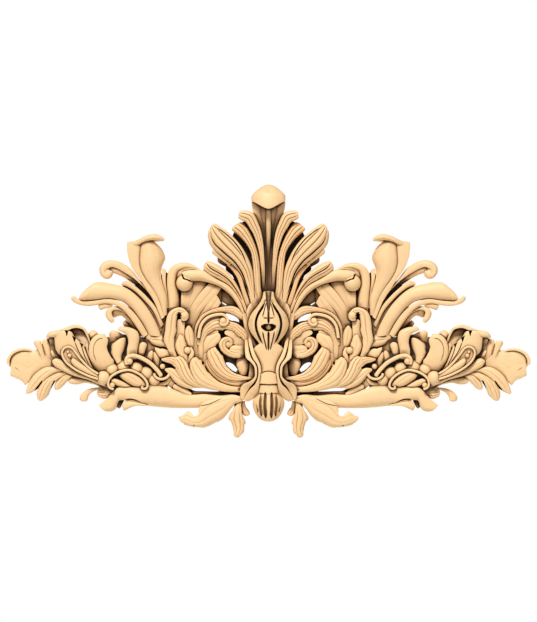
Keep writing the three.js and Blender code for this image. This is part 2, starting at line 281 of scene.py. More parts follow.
# %% [markdown]
# Berries, seeds and the eyes of scrolls are domed pegs. A half circle of points is spun
# about the peg's own axis, as it would be turned on a lathe.

# %% A bead
SIDES, RINGS = 28, 8   # faces around a peg, and from its side to its top
TOUCHING = 0.01 * MM


def bead(name, column, row, radius, height, foot=-BACK_ALLOWANCE):
    """A domed peg that stands on the wall; its radius is in squares."""
    bm = bmesh.new()
    reach = radius * SQUARE
    profile = [(0.0, foot), (reach, foot)]
    for i in range(RINGS):
        turn = math.pi / 2 * i / RINGS
        profile.append((reach * math.cos(turn), height - reach * (1 - math.sin(turn))))
    profile.append((0.0, height))
    centre = spot(column, row, 0)
    verts = [bm.verts.new(centre + Vector((r, -max(up, foot), 0)) * MM) for r, up in profile]
    edges = [bm.edges.new(pair) for pair in zip(verts, verts[1:])]
    bmesh.ops.spin(
        bm, geom=verts + edges, cent=centre, axis=(0, 1, 0),
        angle=math.tau, steps=SIDES, use_merge=True,
    )
    bmesh.ops.remove_doubles(bm, verts=bm.verts, dist=TOUCHING)
    return blank(name, bm)


print("a peg has", SIDES * (RINGS + 2), "faces")

# %% [markdown]
# The sunk ground ties the leaves together. Where the carving is pierced, the wall shows
# through, so the ground stays away from those places.

# %% Ground
def ground(name, *stations, height=GROUND):
    """A level piece of the sunk ground."""
    return leaf(name, *[(*station, height) for station in stations], bow=(0, 0), tip=0.1, fine=0.25)


pieces = [
    ground("ground of the wing", (22, 353, 22, 374), (32, 354, 32, 384), (44, 347, 44, 378),
        (54, 340, 54, 374), (64, 334, 64, 376), (76, 332, 76, 382), (88, 338, 88, 382),
        (98, 338, 98, 386), (108, 337, 108, 396), (120, 334, 120, 396), (134, 336, 134, 402),
        (150, 338, 150, 402), (168, 338, 168, 402), height=WING_GROUND),
    ground("ground of the scrolls", (164, 326, 164, 402), (178, 312, 178, 402), (190, 302, 190, 402),
        (204, 300, 204, 400), (222, 300, 222, 400), (240, 300, 240, 400), (252, 296, 252, 394),
        (266, 290, 266, 392)),
    ground("ground of the crown", (245, 312, 267, 312), (240, 292, 267, 292), (228, 266, 267, 262),
        (228, 250, 266, 240), (234, 232, 262, 228), (241, 222, 256, 215)),
    ground("ground by the arm", (246, 310, 8), (234, 290, 9), (222, 281, 7), (208, 275, 4.5)),
    ground("ground of the fan", (190, 312, 14), (191, 296, 14), (200, 284, 12)),
    ground("ground by the ball", (180, 302, 4), (181, 288, 5), (184, 276, 5)),
    ground("ground under the arm", (221, 312, 6), (220.5, 300, 5), (219.5, 288, 4)),
    ground("ground by the root", (163, 345, 6), (162.5, 330, 4), (161, 318, 3)),
    ground("ground of the wing lobes", (36.5, 344.5, 50, 343), (37, 354, 54, 352)),
    ground("ground by the arch", (169, 316, 5), (165.5, 295, 5), (164.5, 280, 4), (165, 271, 3)),
    ground("ground by the crozier", (164, 322, 6), (153, 301, 6), (143, 290, 5), (135, 283, 4)),
    ground("ground by the plain strip", (158, 328, 12), (147, 310, 11), (136, 298, 7), (127, 290.5, 3.5)),
    ground("ground by the hook", (150, 334, 8), (139, 321, 6), (128, 312, 5), (119, 307, 3)),
    leaf("wood behind the tall plume", (165, 314, 2.5, 40), (157.5, 294, 7, 46), (151, 278, 10, 49),
        (146, 264, 12, 50), (145, 252, 11, 50), (146, 245, 8, 50), bow=(0, 0), fine=0.5),
    leaf("web beside the boss", (256, 348, 4, 54), (251.5, 338, 4.8, 48), (248, 326, 3.5, 48),
        (247.5, 314, 3, 46)),
    leaf("wood by the boss", (252, 322, 4, 50), (250.5, 312, 4, 50), (253, 303, 3, 48), bow=(0.1, 0.1)),
]
print("ground:", len(pieces), "pieces")

# %% [markdown]
# The crown: tall reeded leaves fan out on each side of the shaft. The inner ones are
# slim and lie over each other; the outer one is broad and turns outwards.

# %% Crown
pieces += [
    leaf("inner crown leaf", (262.3, 296, 264.5, 296, 18), (261.3, 282, 264.8, 282, 30),
        (260.6, 270, 265, 270, 46), (260, 258, 264.3, 258, 54), (258, 247.5, 263.5, 246, 57),
        (253.8, 235, 261.5, 233, 59), (249, 227, 258.8, 224.5, 61), (245.8, 222, 254, 214.2, 62),
        (241.5, 220.5, 248, 210.7, 62), (238, 217.5, 239.6, 210.6, 60), ribs=3, cut=2, bow=(0.35, 0.35),
        tip=0.3),
    leaf("second crown leaf", (256, 314, 266, 302, 50), (253.8, 288, 261.4, 288, 51),
        (253.4, 272, 260.5, 272, 52), (252.3, 260, 258.8, 258, 52), (250.3, 251, 256.3, 248, 52),
        (244.6, 242, 252.2, 237, 52), (237.3, 234.5, 247.5, 227.5, 52), (232.5, 230.8, 242, 222.3, 50),
        (231.8, 228, 237, 223.3, 46), ribs=3, cut=2.8, bow=(0.5, 1.0), tip=0.5),
    leaf("broad crown leaf", (253.5, 314, 262, 306, 50), (248.3, 293, 255, 291, 54),
        (243.5, 280, 253.5, 279, 56), (239.5, 272, 252, 269, 60), (233, 265, 248.2, 258.5, 64),
        (225, 259, 242.8, 248.5, 68), (216.5, 252.5, 236.5, 240.3, 70), (210, 245, 229, 233, 70),
        (208, 236.5, 220.3, 226.8, 69), (208.7, 229.5, 213.8, 222.4, 66), ribs=4, cut=2.8, bow=(0.4, 0.3),
        tip=0.7),
    leaf("lobe behind the crown", (231, 263.5, 3, 50), (222, 256.5, 3.4, 56), (212.8, 249, 4, 60)),
    leaf("lobe behind the crown", (236, 268, 4, 24), (228, 262.5, 5, 28), (217.6, 257.5, 4.5, 32), ribs=2,
        cut=1.2),
    leaf("lobe behind the crown", (240, 276, 4, 16), (233, 271, 4, 17), (226, 266.5, 3, 17)),
    leaf("ribbon", (247.5, 311, 252, 308, 42), (243.7, 299, 249, 300, 46), (240.5, 288, 244.8, 288, 48),
        (237, 278, 241.8, 277.5, 48), (231.5, 269.5, 236.5, 268.5, 48), (226, 264.5, 230, 262.5, 46),
        ribs=2, cut=1.2, bow=(0.4, 0.4)),
    leaf("low crown leaf", (246, 314, 247.5, 311, 46), (240.5, 301, 243.7, 300, 52),
        (234.5, 291.5, 239.5, 290, 55), (227, 284.3, 234.8, 281.3, 58), (217, 279.3, 228, 272.3, 60),
        (208.3, 276, 218.5, 265.3, 60), (203.8, 271, 210.5, 261.6, 58), (203.6, 265.5, 206, 261.3, 55),
        ribs=3, cut=2.3, bow=(0.9, 0.4), tip=0.5),
]
print("with the leaves of the crown:", len(pieces), "pieces")

# %% [markdown]
# Under the crown, an arm reaches out to a ball, an arch bends round the ball, and a thin
# fan of three flat leaves lies behind them. The fan lies deep, so it gets dark painted shade.

# %% Arm, arch and fan
pieces += [
    leaf("arm", (242, 313, 245, 314, 44), (236.5, 303.5, 241, 303, 49), (230.5, 295.5, 236.5, 294, 52),
        (221.5, 288, 230, 286, 54), (211, 283.3, 217, 279.2, 56), (200, 281.2, 204, 270.5, 58),
        (191.5, 281.5, 192, 269.8, 58), (184.5, 279, 185, 271, 56), (180.5, 275.5, 181.5, 272, 52),
        bow=(1.1, 0.4)),
    leaf("inside of the arch", (178.5, 291, 1.5, 30), (179.5, 283, 3, 42), (182.5, 274, 5, 49),
        (190, 269.6, 3.2, 50), (199, 270.3, 1.6, 48), bow=(0.2, 0.2)),
    bead("ball of the arm", 184.4, 283, 8.3, 62),
    leaf("arch", (169, 314, 180, 312, 44), (168, 297, 179.3, 297, 47), (167, 284, 177, 284, 50),
        (167.5, 275, 177.5, 276, 51), (170, 268.8, 180, 271.3, 52), (175, 264.6, 183.5, 270, 53),
        (181, 262.7, 187.5, 269, 53), (188, 263, 193, 269.5, 51), (195, 266, 198, 271, 48),
        (200, 269, 202, 273, 44), bow=(0.4, 1.2), tip=0.4),
    leaf("fan behind", (184, 332, 198, 328, 22), (181, 314, 210, 314, 26), (180.5, 302, 219, 304, 29),
        (181, 292, 221.5, 293, 30), (186, 278, 220, 281, 29), bow=(0.1, 0.1), tip=0.1),
    leaf("fan's left leaf", (181, 332, 190, 332, 30), (181, 312, 193, 311, 36), (181, 299, 200, 297, 40),
        (182, 288, 206, 285, 41), (186, 281, 205, 279, 40), ribs=2, cut=0.8, bow=(0.05, 0.1), lean=-0.05,
        tip=0.1),
    leaf("fan's middle leaf", (186, 332, 197, 332, 31), (189.5, 311, 200, 314, 37),
        (197, 297, 211, 302, 41), (206, 286.5, 219, 292, 42), (212, 281, 222, 285, 41), ribs=2, cut=0.9,
        bow=(0.03, 0.1), lean=-0.06, tip=0.1),
    leaf("fan's right leaf", (193, 334, 206, 334, 29), (199, 317, 210, 319, 35), (208, 303, 217, 309, 39),
        (215, 292, 221.3, 302.5, 40), ribs=2, cut=0.9, bow=(0.03, 0.1), lean=-0.04, tip=0.1),
    leaf("lobe on the fan", (206, 290, 2.5, 34), (200, 285, 3.5, 36), (194, 281, 4, 36), bow=(0.2, 0.2)),
    leaf("leaf in the shade", (243, 308, 4, 22), (236, 301, 6, 24), (229, 297, 7, 25), (223, 291, 5, 25),
        bow=(0.2, 0.2)),
]
print("with the arm and the fan:", len(pieces), "pieces")

# %% [markdown]
# The palmette: plumes that rise from one root between the crown and the wing. One is
# cupped with a folded tip, and one ends in a crozier, as a young fern does.

# %% Palmette
pieces += [
    leaf("tall plume's border", (161.5, 319, 164.5, 317, 42), (153.5, 300, 159, 299, 48),
        (146, 288.5, 152.8, 288.5, 52), (139.5, 278.5, 146, 279.5, 54), (134, 271, 141.5, 271.5, 56),
        (130.5, 264, 139.5, 264, 57), (128, 256, 139.5, 256, 58), (127, 248, 140, 249, 58),
        (127, 241.8, 141, 243.5, 57), bow=(0.1, 0.25), tip=0.1),
    leaf("tall plume", (163.5, 316, 167, 315, 42), (158.5, 300, 167, 299, 50), (152, 289, 164, 288, 54),
        (145, 280, 161.4, 279, 57), (140, 272, 161, 270, 60), (137.5, 264, 163.3, 263.5, 62),
        (136.5, 256, 165.2, 257.5, 62), (137.5, 249, 162, 249.5, 60), (139, 243.5, 156, 243, 58),
        (141.5, 240, 152, 240, 56), ribs=3, cut=0.3, bow=(0.5, 0.6), tip=0.2),
    leaf("under the fold", (136, 247, 135, 241, 50), (142, 244.3, 142, 238, 54),
        (150, 242.3, 150, 237, 55), (157, 241.7, 157, 237, 55), (163.4, 241, 163.6, 238.5, 53),
        bow=(0.9, 0), tip=0.3),
    leaf("folded tip", (136, 248.5, 129, 242, 56), (139.5, 245, 136.5, 240.5, 62),
        (143.5, 242.3, 143, 237, 66), (149, 240.6, 149.5, 234.7, 68), (155, 240.2, 155, 234, 68),
        (160, 240.5, 160.5, 235.8, 67), (163.7, 241.5, 164.8, 239, 64), bow=(1.3, 0.9), tip=0.4),
    leaf("strip beside the plume", (166.8, 308, 168.6, 308, 40), (165, 292, 167, 292, 43),
        (162.3, 280, 165.6, 280, 44), (161.6, 267.5, 166.4, 269.5, 44), bow=(0.2, 0.2), tip=0.2),
    leaf("crozier's shade", (146, 286, 142, 290, 16), (135, 276, 129.5, 281, 32),
        (125, 269, 122, 276.5, 43), (116, 266, 115, 273.6, 46), (108, 267, 110.5, 272.5, 46),
        bow=(0, 0.8)),
    bead("crozier's eye", 106.2, 272.4, 4.8, 53),
    leaf("wood under the plain strip", (160, 332, 4, 34), (149, 313.5, 4, 36), (139, 301.5, 4, 36),
        (129, 292, 3.5, 36), (122.5, 286.5, 2, 34), bow=(0.2, 0.2)),
    leaf("crozier", (160, 307, 156.7, 304.5, 42), (151, 294.5, 147.7, 291.7, 46),
        (140.5, 281.5, 137, 281, 48), (132, 270.3, 129, 275.2, 50), (127, 266, 123, 271.6, 51),
        (120, 262, 117.5, 268.6, 52), (113, 260.3, 112.5, 267, 53), (107.5, 260.6, 109.5, 267.6, 54),
        (103, 262.8, 107, 269, 54), (100, 266.5, 105.5, 270.5, 54), (99.3, 271, 105, 271.8, 54),
        (101, 275.5, 105.8, 272.8, 54), (104.5, 278.5, 106.5, 272.4, 54), (108.5, 279, 106.6, 271.6, 54),
        (111.8, 276.6, 106.4, 271, 53), (113, 273, 106.8, 270.6, 52), (112, 270.5, 108.5, 270.3, 50),
        bow=(0.8, 0.2), tip=0.4),
]
print("with the tall plume:", len(pieces), "pieces")

# %% [markdown]
# The lower plumes lie over each other: a plain strip, a long low plume with a rim along
# its under side, and a small hook that curls back.

# %% Low plume and hook
pieces += [
    leaf("plain strip", (163.5, 324, 160.5, 328, 38), (156.3, 308, 153, 311.5, 41),
        (146.5, 296.2, 143.5, 300, 42), (137, 287.4, 134.5, 291.5, 42), (128.5, 281, 127, 287.3, 42),
        (122.5, 281.8, 121, 285, 38), bow=(0.3, 0.5), tip=0.3),
    leaf("low plume", (162, 337, 147, 335, 44), (158, 327, 141, 324, 49), (153, 317, 136, 316.5, 53),
        (146, 306, 130, 308, 55), (137, 296, 122, 301.5, 56), (128, 289, 113, 299.8, 57),
        (120, 285.6, 105, 299.8, 57), (112, 283.9, 98, 301, 57), (104, 282.4, 91, 302, 57),
        (95, 282.5, 85.5, 302.3, 57), (88, 287.5, 82, 301.5, 56), (83, 291.8, 80, 300.3, 54),
        (79.3, 297, 78.5, 299, 51), bow=(0.35, 0.7), tip=0.3),
    leaf("low plume's rim", (148, 334, 143, 338, 42), (141.8, 323, 137, 328, 48),
        (134.6, 313.2, 130, 318, 51), (126, 305.4, 123, 310, 53), (116, 300.3, 115, 305.2, 51),
        (106, 299, 105.5, 303.6, 50), (97, 300.4, 97, 305, 50), (89, 301.3, 88.5, 306, 51),
        (82, 301.3, 80.5, 305, 53), (77.5, 298.5, 75, 302.8, 54), (75, 296.2, 71.8, 300, 54),
        (74.3, 295.3, 71.3, 297.3, 52), bow=(0.2, 0.5), tip=0.4),
    leaf("root of the palmette", (163.5, 345, 3, 34), (163.2, 330, 2.6, 32), (163.8, 315, 2, 30),
        bow=(0.2, 0.2)),
    leaf("bud", (114, 302, 112, 307, 44), (105, 301.5, 104.5, 308.8, 46), (97, 303, 99.5, 310.8, 45),
        tip=0.5),
    leaf("hook", (146.5, 335, 143.8, 337, 40), (141, 325, 138.3, 327.7, 43), (134, 316, 131.3, 319.2, 44),
        (127, 309.5, 124.8, 313.2, 44), (120, 306.5, 119, 310.2, 45), (113.5, 306.5, 114, 310, 45),
        (108.5, 308, 111.8, 312, 46), (105.6, 312, 112, 314, 46), (106, 316.5, 113, 316.8, 46),
        (108.5, 320.5, 113.8, 319, 46), (112, 323.2, 114.6, 321.3, 44), bow=(0.6, 0.3), tip=0.4),
    leaf("inside of the hook", (144.5, 335, 138, 338, 34), (139.5, 326, 133, 328.5, 36),
        (132, 317.5, 128, 322.3, 36), (125.5, 311.5, 124.5, 318, 36), (119, 308.5, 120.5, 315.6, 36),
        (113, 308.5, 116, 317, 36), (108.5, 311.5, 113.8, 318.3, 34), bow=(0, 0.6), lean=-0.6),
    leaf("wood by the hook", (140, 336, 6, 20), (132, 327, 5, 18), (126.5, 322.5, 2.6, 16)),
    leaf("small lobe", (135, 334, 130.5, 336, 24), (127.5, 322, 124, 326, 24),
        (125, 319.8, 122.2, 323.4, 22)),
]
print("with the palmette:", len(pieces), "pieces")

# %% [markdown]
# The scrolls: crescents and spirals that roll in towards the boss, with a thin rim
# that ends in an eye and a reeded border along the biggest crescent. The longest leaves
# need the most stations, because a spiral turns through every direction.

# %% Scrolls
pieces += [
    leaf("top crescent", (247, 321, 247.3, 312, 42), (240, 319, 241, 309.5, 44),
        (232, 314.5, 232.5, 306, 44), (222, 312, 221.5, 307, 43), (211, 314, 210, 310.3, 43),
        (203, 319, 201, 316, 43), (197.3, 329, 195.3, 326, 42), (196.3, 341, 194.3, 339, 40), ribs=3,
        cut=1.4, tip=0.3),
    rim("scroll rim", 1.5, 56, (198.6, 338), (200.2, 327.5), (203.6, 321.3), (208.7, 317), (215.3, 314.9),
        (221.6, 314.3), (225.5, 315.8), (227.8, 319), (227.4, 322.4), (225, 324.6), (221.8, 324.4),
        (219.9, 322.2)),
    bead("scroll eye", 223, 321, 3.4, 57),
    leaf("arched leaf", (197.5, 362, 204, 362, 40), (198, 352, 204.5, 351, 44),
        (198.3, 343, 205, 342, 47), (200, 333, 208, 335, 50), (205, 324.8, 213, 331.5, 52),
        (212, 318.3, 218.5, 331, 52), (220, 317, 224, 330.5, 52), (228.5, 321, 229.5, 330.5, 52),
        (236, 323, 233, 331.5, 52), (242, 327, 236, 335, 52), (246.5, 331.5, 239.5, 337.3, 51),
        (248.3, 336.5, 242.5, 339.5, 50), (247.5, 341.5, 246, 342.7, 46), ribs=4, cut=1.7, tip=0.3,
        teeth=(0, 6), bite=0.25),
    leaf("tucked leaf", (203.5, 353, 208, 351.5, 42), (203, 344, 213, 348, 48),
        (204.2, 337.6, 217.8, 345, 49), (210, 334.2, 220.3, 341.5, 49), (219.5, 332.2, 220.8, 337, 47),
        ribs=2, cut=0.8, bow=(0.2, 0.2), tip=0.1, teeth=(3, 2)),
    leaf("spiral", (247.8, 351.5, 245, 349, 42), (243.5, 356.8, 241.5, 352, 46),
        (236, 358.4, 236, 352.5, 48), (228.5, 356.4, 231, 351, 49), (222.3, 352.3, 227.3, 348.5, 50),
        (219, 346.5, 226, 346, 50), (219.2, 341.7, 226.3, 343.5, 50), (222, 338.3, 227.5, 341.8, 50),
        (226.5, 336.7, 228.7, 341, 50), (230.5, 337.8, 229.3, 341.7, 50), (233, 341.3, 229.7, 343, 49),
        (232.3, 344.8, 229.5, 344.3, 48), (230.5, 347, 229.2, 345.5, 46), ribs=2, cut=1.6, tip=0.4),
    leaf("inside of the spiral", (247.5, 350, 5, 44), (239, 350.3, 5, 47), (229.5, 349.5, 4.5, 47),
        ribs=2, cut=0.8, bow=(0.2, 0.2)),
    leaf("big crescent", (253.5, 378.7, 253, 377, 46), (246, 380.2, 245, 376.3, 50),
        (237, 381, 237.5, 374, 51), (228, 379.5, 232, 371, 52), (220, 375.5, 227.5, 366.5, 53),
        (213, 369, 224.7, 360.5, 54), (209, 362, 222, 354.5, 54), (207, 355, 217.5, 349.5, 53),
        (208, 350.2, 215, 346.5, 50), ribs=3, cut=1.7, bow=(0.4, 0.2), tip=0.4, teeth=(0, 4), bite=0.12),
    leaf("reeded border", (246, 386, 246, 380, 45), (240, 386, 240, 380.5, 46),
        (232, 385.5, 231, 379, 46), (222, 383, 222.5, 375.5, 47), (213, 377, 216, 370, 47),
        (206.5, 367.5, 211, 363.5, 46), (205, 361, 208.5, 358.5, 44), ribs=2, cut=2.3, bow=(0.4, 0.2),
        tip=0.3),
    leaf("lobe", (240, 374.5, 246, 375, 36), (237.5, 368, 248.3, 368.5, 38),
        (236.2, 363.5, 249.7, 363, 38), (238, 358, 249, 357.5, 37), (242, 354, 246, 354, 35),
        bow=(0.35, 0.35), tip=0.2),
    leaf("lobe", (248.5, 377, 256, 376.5, 46), (249.3, 370, 257.8, 370, 48), (249.8, 364, 256.5, 364, 48),
        (250.5, 358, 253.5, 358.5, 46), bow=(0.3, 0.3), tip=0.2),
    leaf("leaves by the boss", (250, 347, 2.2, 46), (248, 334, 2.6, 47), (246.3, 322, 3, 47),
        (244, 313, 2.4, 45), ribs=2, cut=1.4),
]
print("with the scrolls:", len(pieces), "pieces")

# %% [markdown]
# A leaf with an eye stands beside the scrolls, and small leaves fill the space below
# it. Where the photograph shows wood between two leaves, a low leaf lies under both.

# %% Eyed leaf and the small leaves
pieces += [
    leaf("eyed leaf", (172, 358, 177, 356, 46), (166, 346, 174.5, 346, 51), (163.6, 339.8, 175, 338, 53),
        (165.2, 331, 176.7, 331, 54), (165.8, 322, 177, 323, 55), (168, 314, 177.3, 316.5, 56),
        (172, 309.7, 178, 313.8, 56), (178.5, 307.3, 180.5, 313, 56), (184, 308.8, 182.5, 313.7, 56),
        (188, 313.5, 183.5, 315.3, 56), (188.3, 318.3, 183.7, 317, 56), (185, 321, 182.7, 317.8, 55),
        (181, 320.5, 181.3, 317.5, 53), ribs=2, cut=1.6, bow=(0.3, 0.3), teeth=(0, 7), bite=0.2),
    bead("leaf eye", 184.6, 315.4, 4.2, 59),
    leaf("wood by the eyed leaf", (179, 346, 5, 42), (179.5, 331, 5, 44), (181, 319, 4, 44),
        bow=(0.1, 0.1)),
    leaf("wood by the arched leaf", (196.5, 362, 3, 40), (196.5, 350, 3, 40), (196.5, 337, 2.5, 40),
        bow=(0.1, 0.1)),
    leaf("wood inside the scroll", (250, 343, 5, 44), (242, 342, 5, 44), (235, 339, 5, 44),
        (228.5, 334.5, 3, 42), bow=(0.15, 0.15)),
    leaf("wood beside the spiral", (236, 337, 3.5, 44), (230, 333.5, 3, 46), (224.5, 332, 2, 46),
        bow=(0, 0)),
    leaf("wood by the tucked leaf", (206, 338, 2.5, 44), (212, 333, 2.2, 45), (218.5, 331.5, 1.6, 45),
        bow=(0, 0)),
    bead("spiral's eye", 228.2, 344, 3.8, 48),
    leaf("wood under the scroll rim", (200, 345, 3, 44), (202.5, 330, 3, 46), (208, 321, 3, 46),
        (216, 317.5, 3, 46), (223, 318, 3, 44), bow=(0, 0)),
    leaf("wood under the arched leaf", (206, 366, 3, 41), (206.5, 352, 3, 42), bow=(0, 0)),
    leaf("slim leaf", (189.5, 354, 193.5, 353, 40), (187.5, 345, 194.2, 345, 44),
        (184.7, 338, 194.5, 338, 46), (184.2, 332, 193.5, 332, 46), (186, 328, 191.5, 328, 45),
        (188, 325.5, 189.2, 325.5, 43), ribs=2, cut=1.2),
    leaf("pointed leaf", (188, 369, 189.5, 369, 46), (183.5, 361, 188, 360, 49),
        (177.5, 353.5, 188, 352, 50), (174.3, 345.5, 186.8, 344, 50), (176.5, 339.5, 184.8, 338, 49),
        (179.3, 334.3, 181, 334.2, 46), ribs=2, cut=0.9, teeth=(0, 3), bite=0.15),
    bead("small ball", 187.5, 350.3, 3.4, 57),
    leaf("comma", (190, 347.5, 1.2, 47), (192, 351.5, 2, 51), (191.2, 357, 2.6, 51),
        (188.8, 363, 1.4, 47)),
    leaf("jagged cup", (167, 342, 166, 347.5, 41), (163.5, 335.5, 162, 347, 44), (158, 333, 156, 347, 42),
        (151.5, 335, 151.5, 343.5, 40), (148.9, 332.8, 148.6, 340.5, 40), (146, 332, 146, 339.5, 38),
        ribs=2, cut=2, tip=0.2, teeth=(0, 3)),
    leaf("leaflet", (174, 356, 172, 358, 39), (167.3, 349.5, 166.5, 357.6, 42),
        (160.5, 347.8, 160.5, 358.9, 42), (154, 347, 156, 352.5, 40), bow=(0.2, 0.4), tip=0.2,
        teeth=(3, 3)),
]
print("with the small leaves:", len(pieces), "pieces")

# %% [markdown]
# The wing runs out to a pointed tail. Two thin bands cross it near its root, each with
# an eye at its end, and a small leaf lies inside the lower one.

# %% Bands of the wing
pieces += [
    rim("upper band", 2.0, 52, (126.8, 364.5), (126.3, 360), (128.2, 356.8), (132.5, 355.4), (138, 356.6),
        (144, 359.3), (150, 363), (155.5, 368.3), (159.5, 373.2), (161.5, 376.5)),
    bead("band's eye", 129.5, 361.3, 3.2, 55),
    rim("band's hook", 1.3, 50, (153.8, 373.4), (155.6, 377), (159.5, 379), (164, 378.8), (167.6, 376.8),
        (169.3, 373.8)),
    rim("lower band", 1.2, 50, (113.5, 389.3), (109.4, 387.6), (108, 383.3), (109.3, 378.7), (113, 375),
        (118, 372.2), (124, 370.4), (129.5, 370), (136, 372.2), (142, 376), (146.3, 381), (147.6, 386),
        (145.2, 388.8), (142.2, 388.2), (142.3, 385.8)),
    bead("lower band's eye", 112.3, 385, 2.5, 50),
    leaf("leaf in the band", (147, 385, 141, 387, 42), (144.5, 380, 133.5, 386, 45),
        (139, 374.6, 127, 382.5, 46), (132, 371.6, 121.5, 378.5, 46), (125.5, 371.3, 119, 375, 43),
        ribs=2, cut=1.1, tip=0.3),
    leaf("strip in the band", (131, 386.3, 121, 386.8, 40), (122, 381.2, 115.5, 385, 44),
        (115.5, 378.6, 111.2, 382.2, 44), (112.7, 378.3, 110.6, 380.6, 41), tip=0.3),
    leaf("tuft", (170, 378, 1.6, 42), (166, 383, 2, 40), (157.5, 384.4, 1.2, 36)),
    leaf("hanging leaf by the berries", (170.5, 374.5, 176, 376.5, 42), (169, 381, 176.7, 381.5, 40),
        (166.3, 384.7, 175, 386.3, 36), (169, 387.8, 172.8, 388.4, 30), ribs=2, cut=0.8, tip=0.2,
        teeth=(0, 3)),
]
print("with the bands:", len(pieces), "pieces")

# %% [markdown]
# Along the top of the wing, leaves roll forward over each other. A hood bends over a
# hollow, and the low leaves inside the hood and the rolled edge are its far walls.

# %% Leaves along the top of the wing
pieces += [
    leaf("rolled leaf", (136.8, 359, 127, 359, 46), (137.5, 349, 127, 349.5, 50),
        (139, 342, 128.3, 343.5, 52), (139.3, 336.5, 127.8, 338, 54), (137, 331, 125.5, 334, 54),
        (131, 327.8, 122, 332, 54), (124.5, 326.6, 119.5, 331, 53), (119.5, 326.5, 117.2, 329.7, 50),
        bow=(0.5, 0.3), tip=0.3),
    leaf("finger", (138.3, 358, 143, 357, 38), (138, 349, 145.4, 350, 42), (138.5, 344.5, 147, 345, 42),
        (141.5, 342, 145, 342, 40)),
    leaf("fold", (146, 360, 152, 363, 36), (148.4, 353, 153, 356.5, 38), (151.5, 350, 153.3, 351.5, 36)),
    leaf("fold", (156, 368, 159, 367, 35), (153.3, 358.5, 159.6, 358, 37),
        (152.8, 351.5, 156.5, 352.5, 35)),
    leaf("lobed leaf", (117, 364, 121.5, 361, 42), (112.5, 357, 121.5, 355.5, 44),
        (110.5, 350.5, 124, 350, 45), (111.5, 344.5, 125.7, 344, 45), (117, 340, 125.8, 339, 44),
        (122, 337.8, 124.5, 337.5, 42), tip=0.3, teeth=(3, 0)),
    leaf("fold under the rolled leaf", (111, 343, 124, 336.5, 30), (109.5, 337, 121, 333, 36),
        (109.3, 333, 117, 331.5, 37), (111.5, 330, 114.5, 330.2, 35)),
    leaf("shell leaf", (100, 374, 112, 370, 38), (94.5, 367, 114.5, 362.5, 45), (90, 359, 111, 355.5, 49),
        (88.7, 350, 107.4, 349.5, 50), (90.3, 341.5, 108.6, 341, 51), (95, 335.6, 106.3, 336, 50),
        (100, 333.8, 104.5, 333.8, 47), bow=(0.2, 0.2), tip=0.3, teeth=(0, 4), bite=0.12),
    bead("lobe", 93.3, 335.6, 5.3, 38),
    leaf("slim leaf by the shell", (94.5, 369, 97.5, 368, 38), (88.7, 357, 91.5, 358.5, 42),
        (86.2, 349, 88.8, 350, 42), (84.8, 343.3, 89, 343, 40), tip=0.2),
    leaf("hood", (90.6, 342.5, 89.2, 342.5, 42), (88.8, 336, 86.6, 336, 46), (86, 329.5, 83.6, 330.4, 49),
        (81.5, 326.3, 80.3, 328.6, 50), (76, 324.8, 75.8, 327.9, 50), (70, 325.7, 70.3, 329, 50),
        (64, 328.4, 65.3, 331.2, 50), (57, 330.6, 59, 332.7, 47), bow=(0.8, 0.1), tip=0.3),
    leaf("inside of the hood", (90.5, 345, 84, 347, 39), (89.5, 340, 78, 343, 36),
        (87.6, 334, 73, 338, 32), (84, 329, 68.5, 333, 27), (77, 327, 66, 330.5, 25), bow=(0, 0.1),
        tip=0.1),
    leaf("inside of the rolled edge", (48.4, 337, 56, 337, 36), (49.4, 342, 56, 342, 33),
        (51.5, 347, 56.5, 347, 26), (53.8, 352, 57, 352, 18), bow=(0, 0), tip=0.2),
    leaf("broad wing leaf", (94, 374, 96, 373, 40), (83, 366, 90.5, 363.5, 45), (70, 359, 86.7, 354, 49),
        (60, 355, 83.5, 346, 51), (56, 350, 79, 341, 53), (54.8, 344, 74.4, 336.5, 54),
        (54.4, 338, 70.8, 331.5, 54), (53, 331.5, 64, 330.6, 53), bow=(0.3, 0.2), tip=0.1),
    leaf("rolled edge", (62, 330.8, 62, 335.5, 51), (55, 330.6, 56, 337, 54), (50, 331.7, 51, 337.4, 54),
        (47, 334.5, 48.5, 338, 51), (46, 337, 46.8, 339.4, 47), bow=(0.6, 0.7), tip=0.3),
]
print("with the rolled leaves:", len(pieces), "pieces")

# %% [markdown]
# The tail is one flat leaf with a thin rim and an uneven end. Three small lobes stand
# over it and three fingers hang below it.

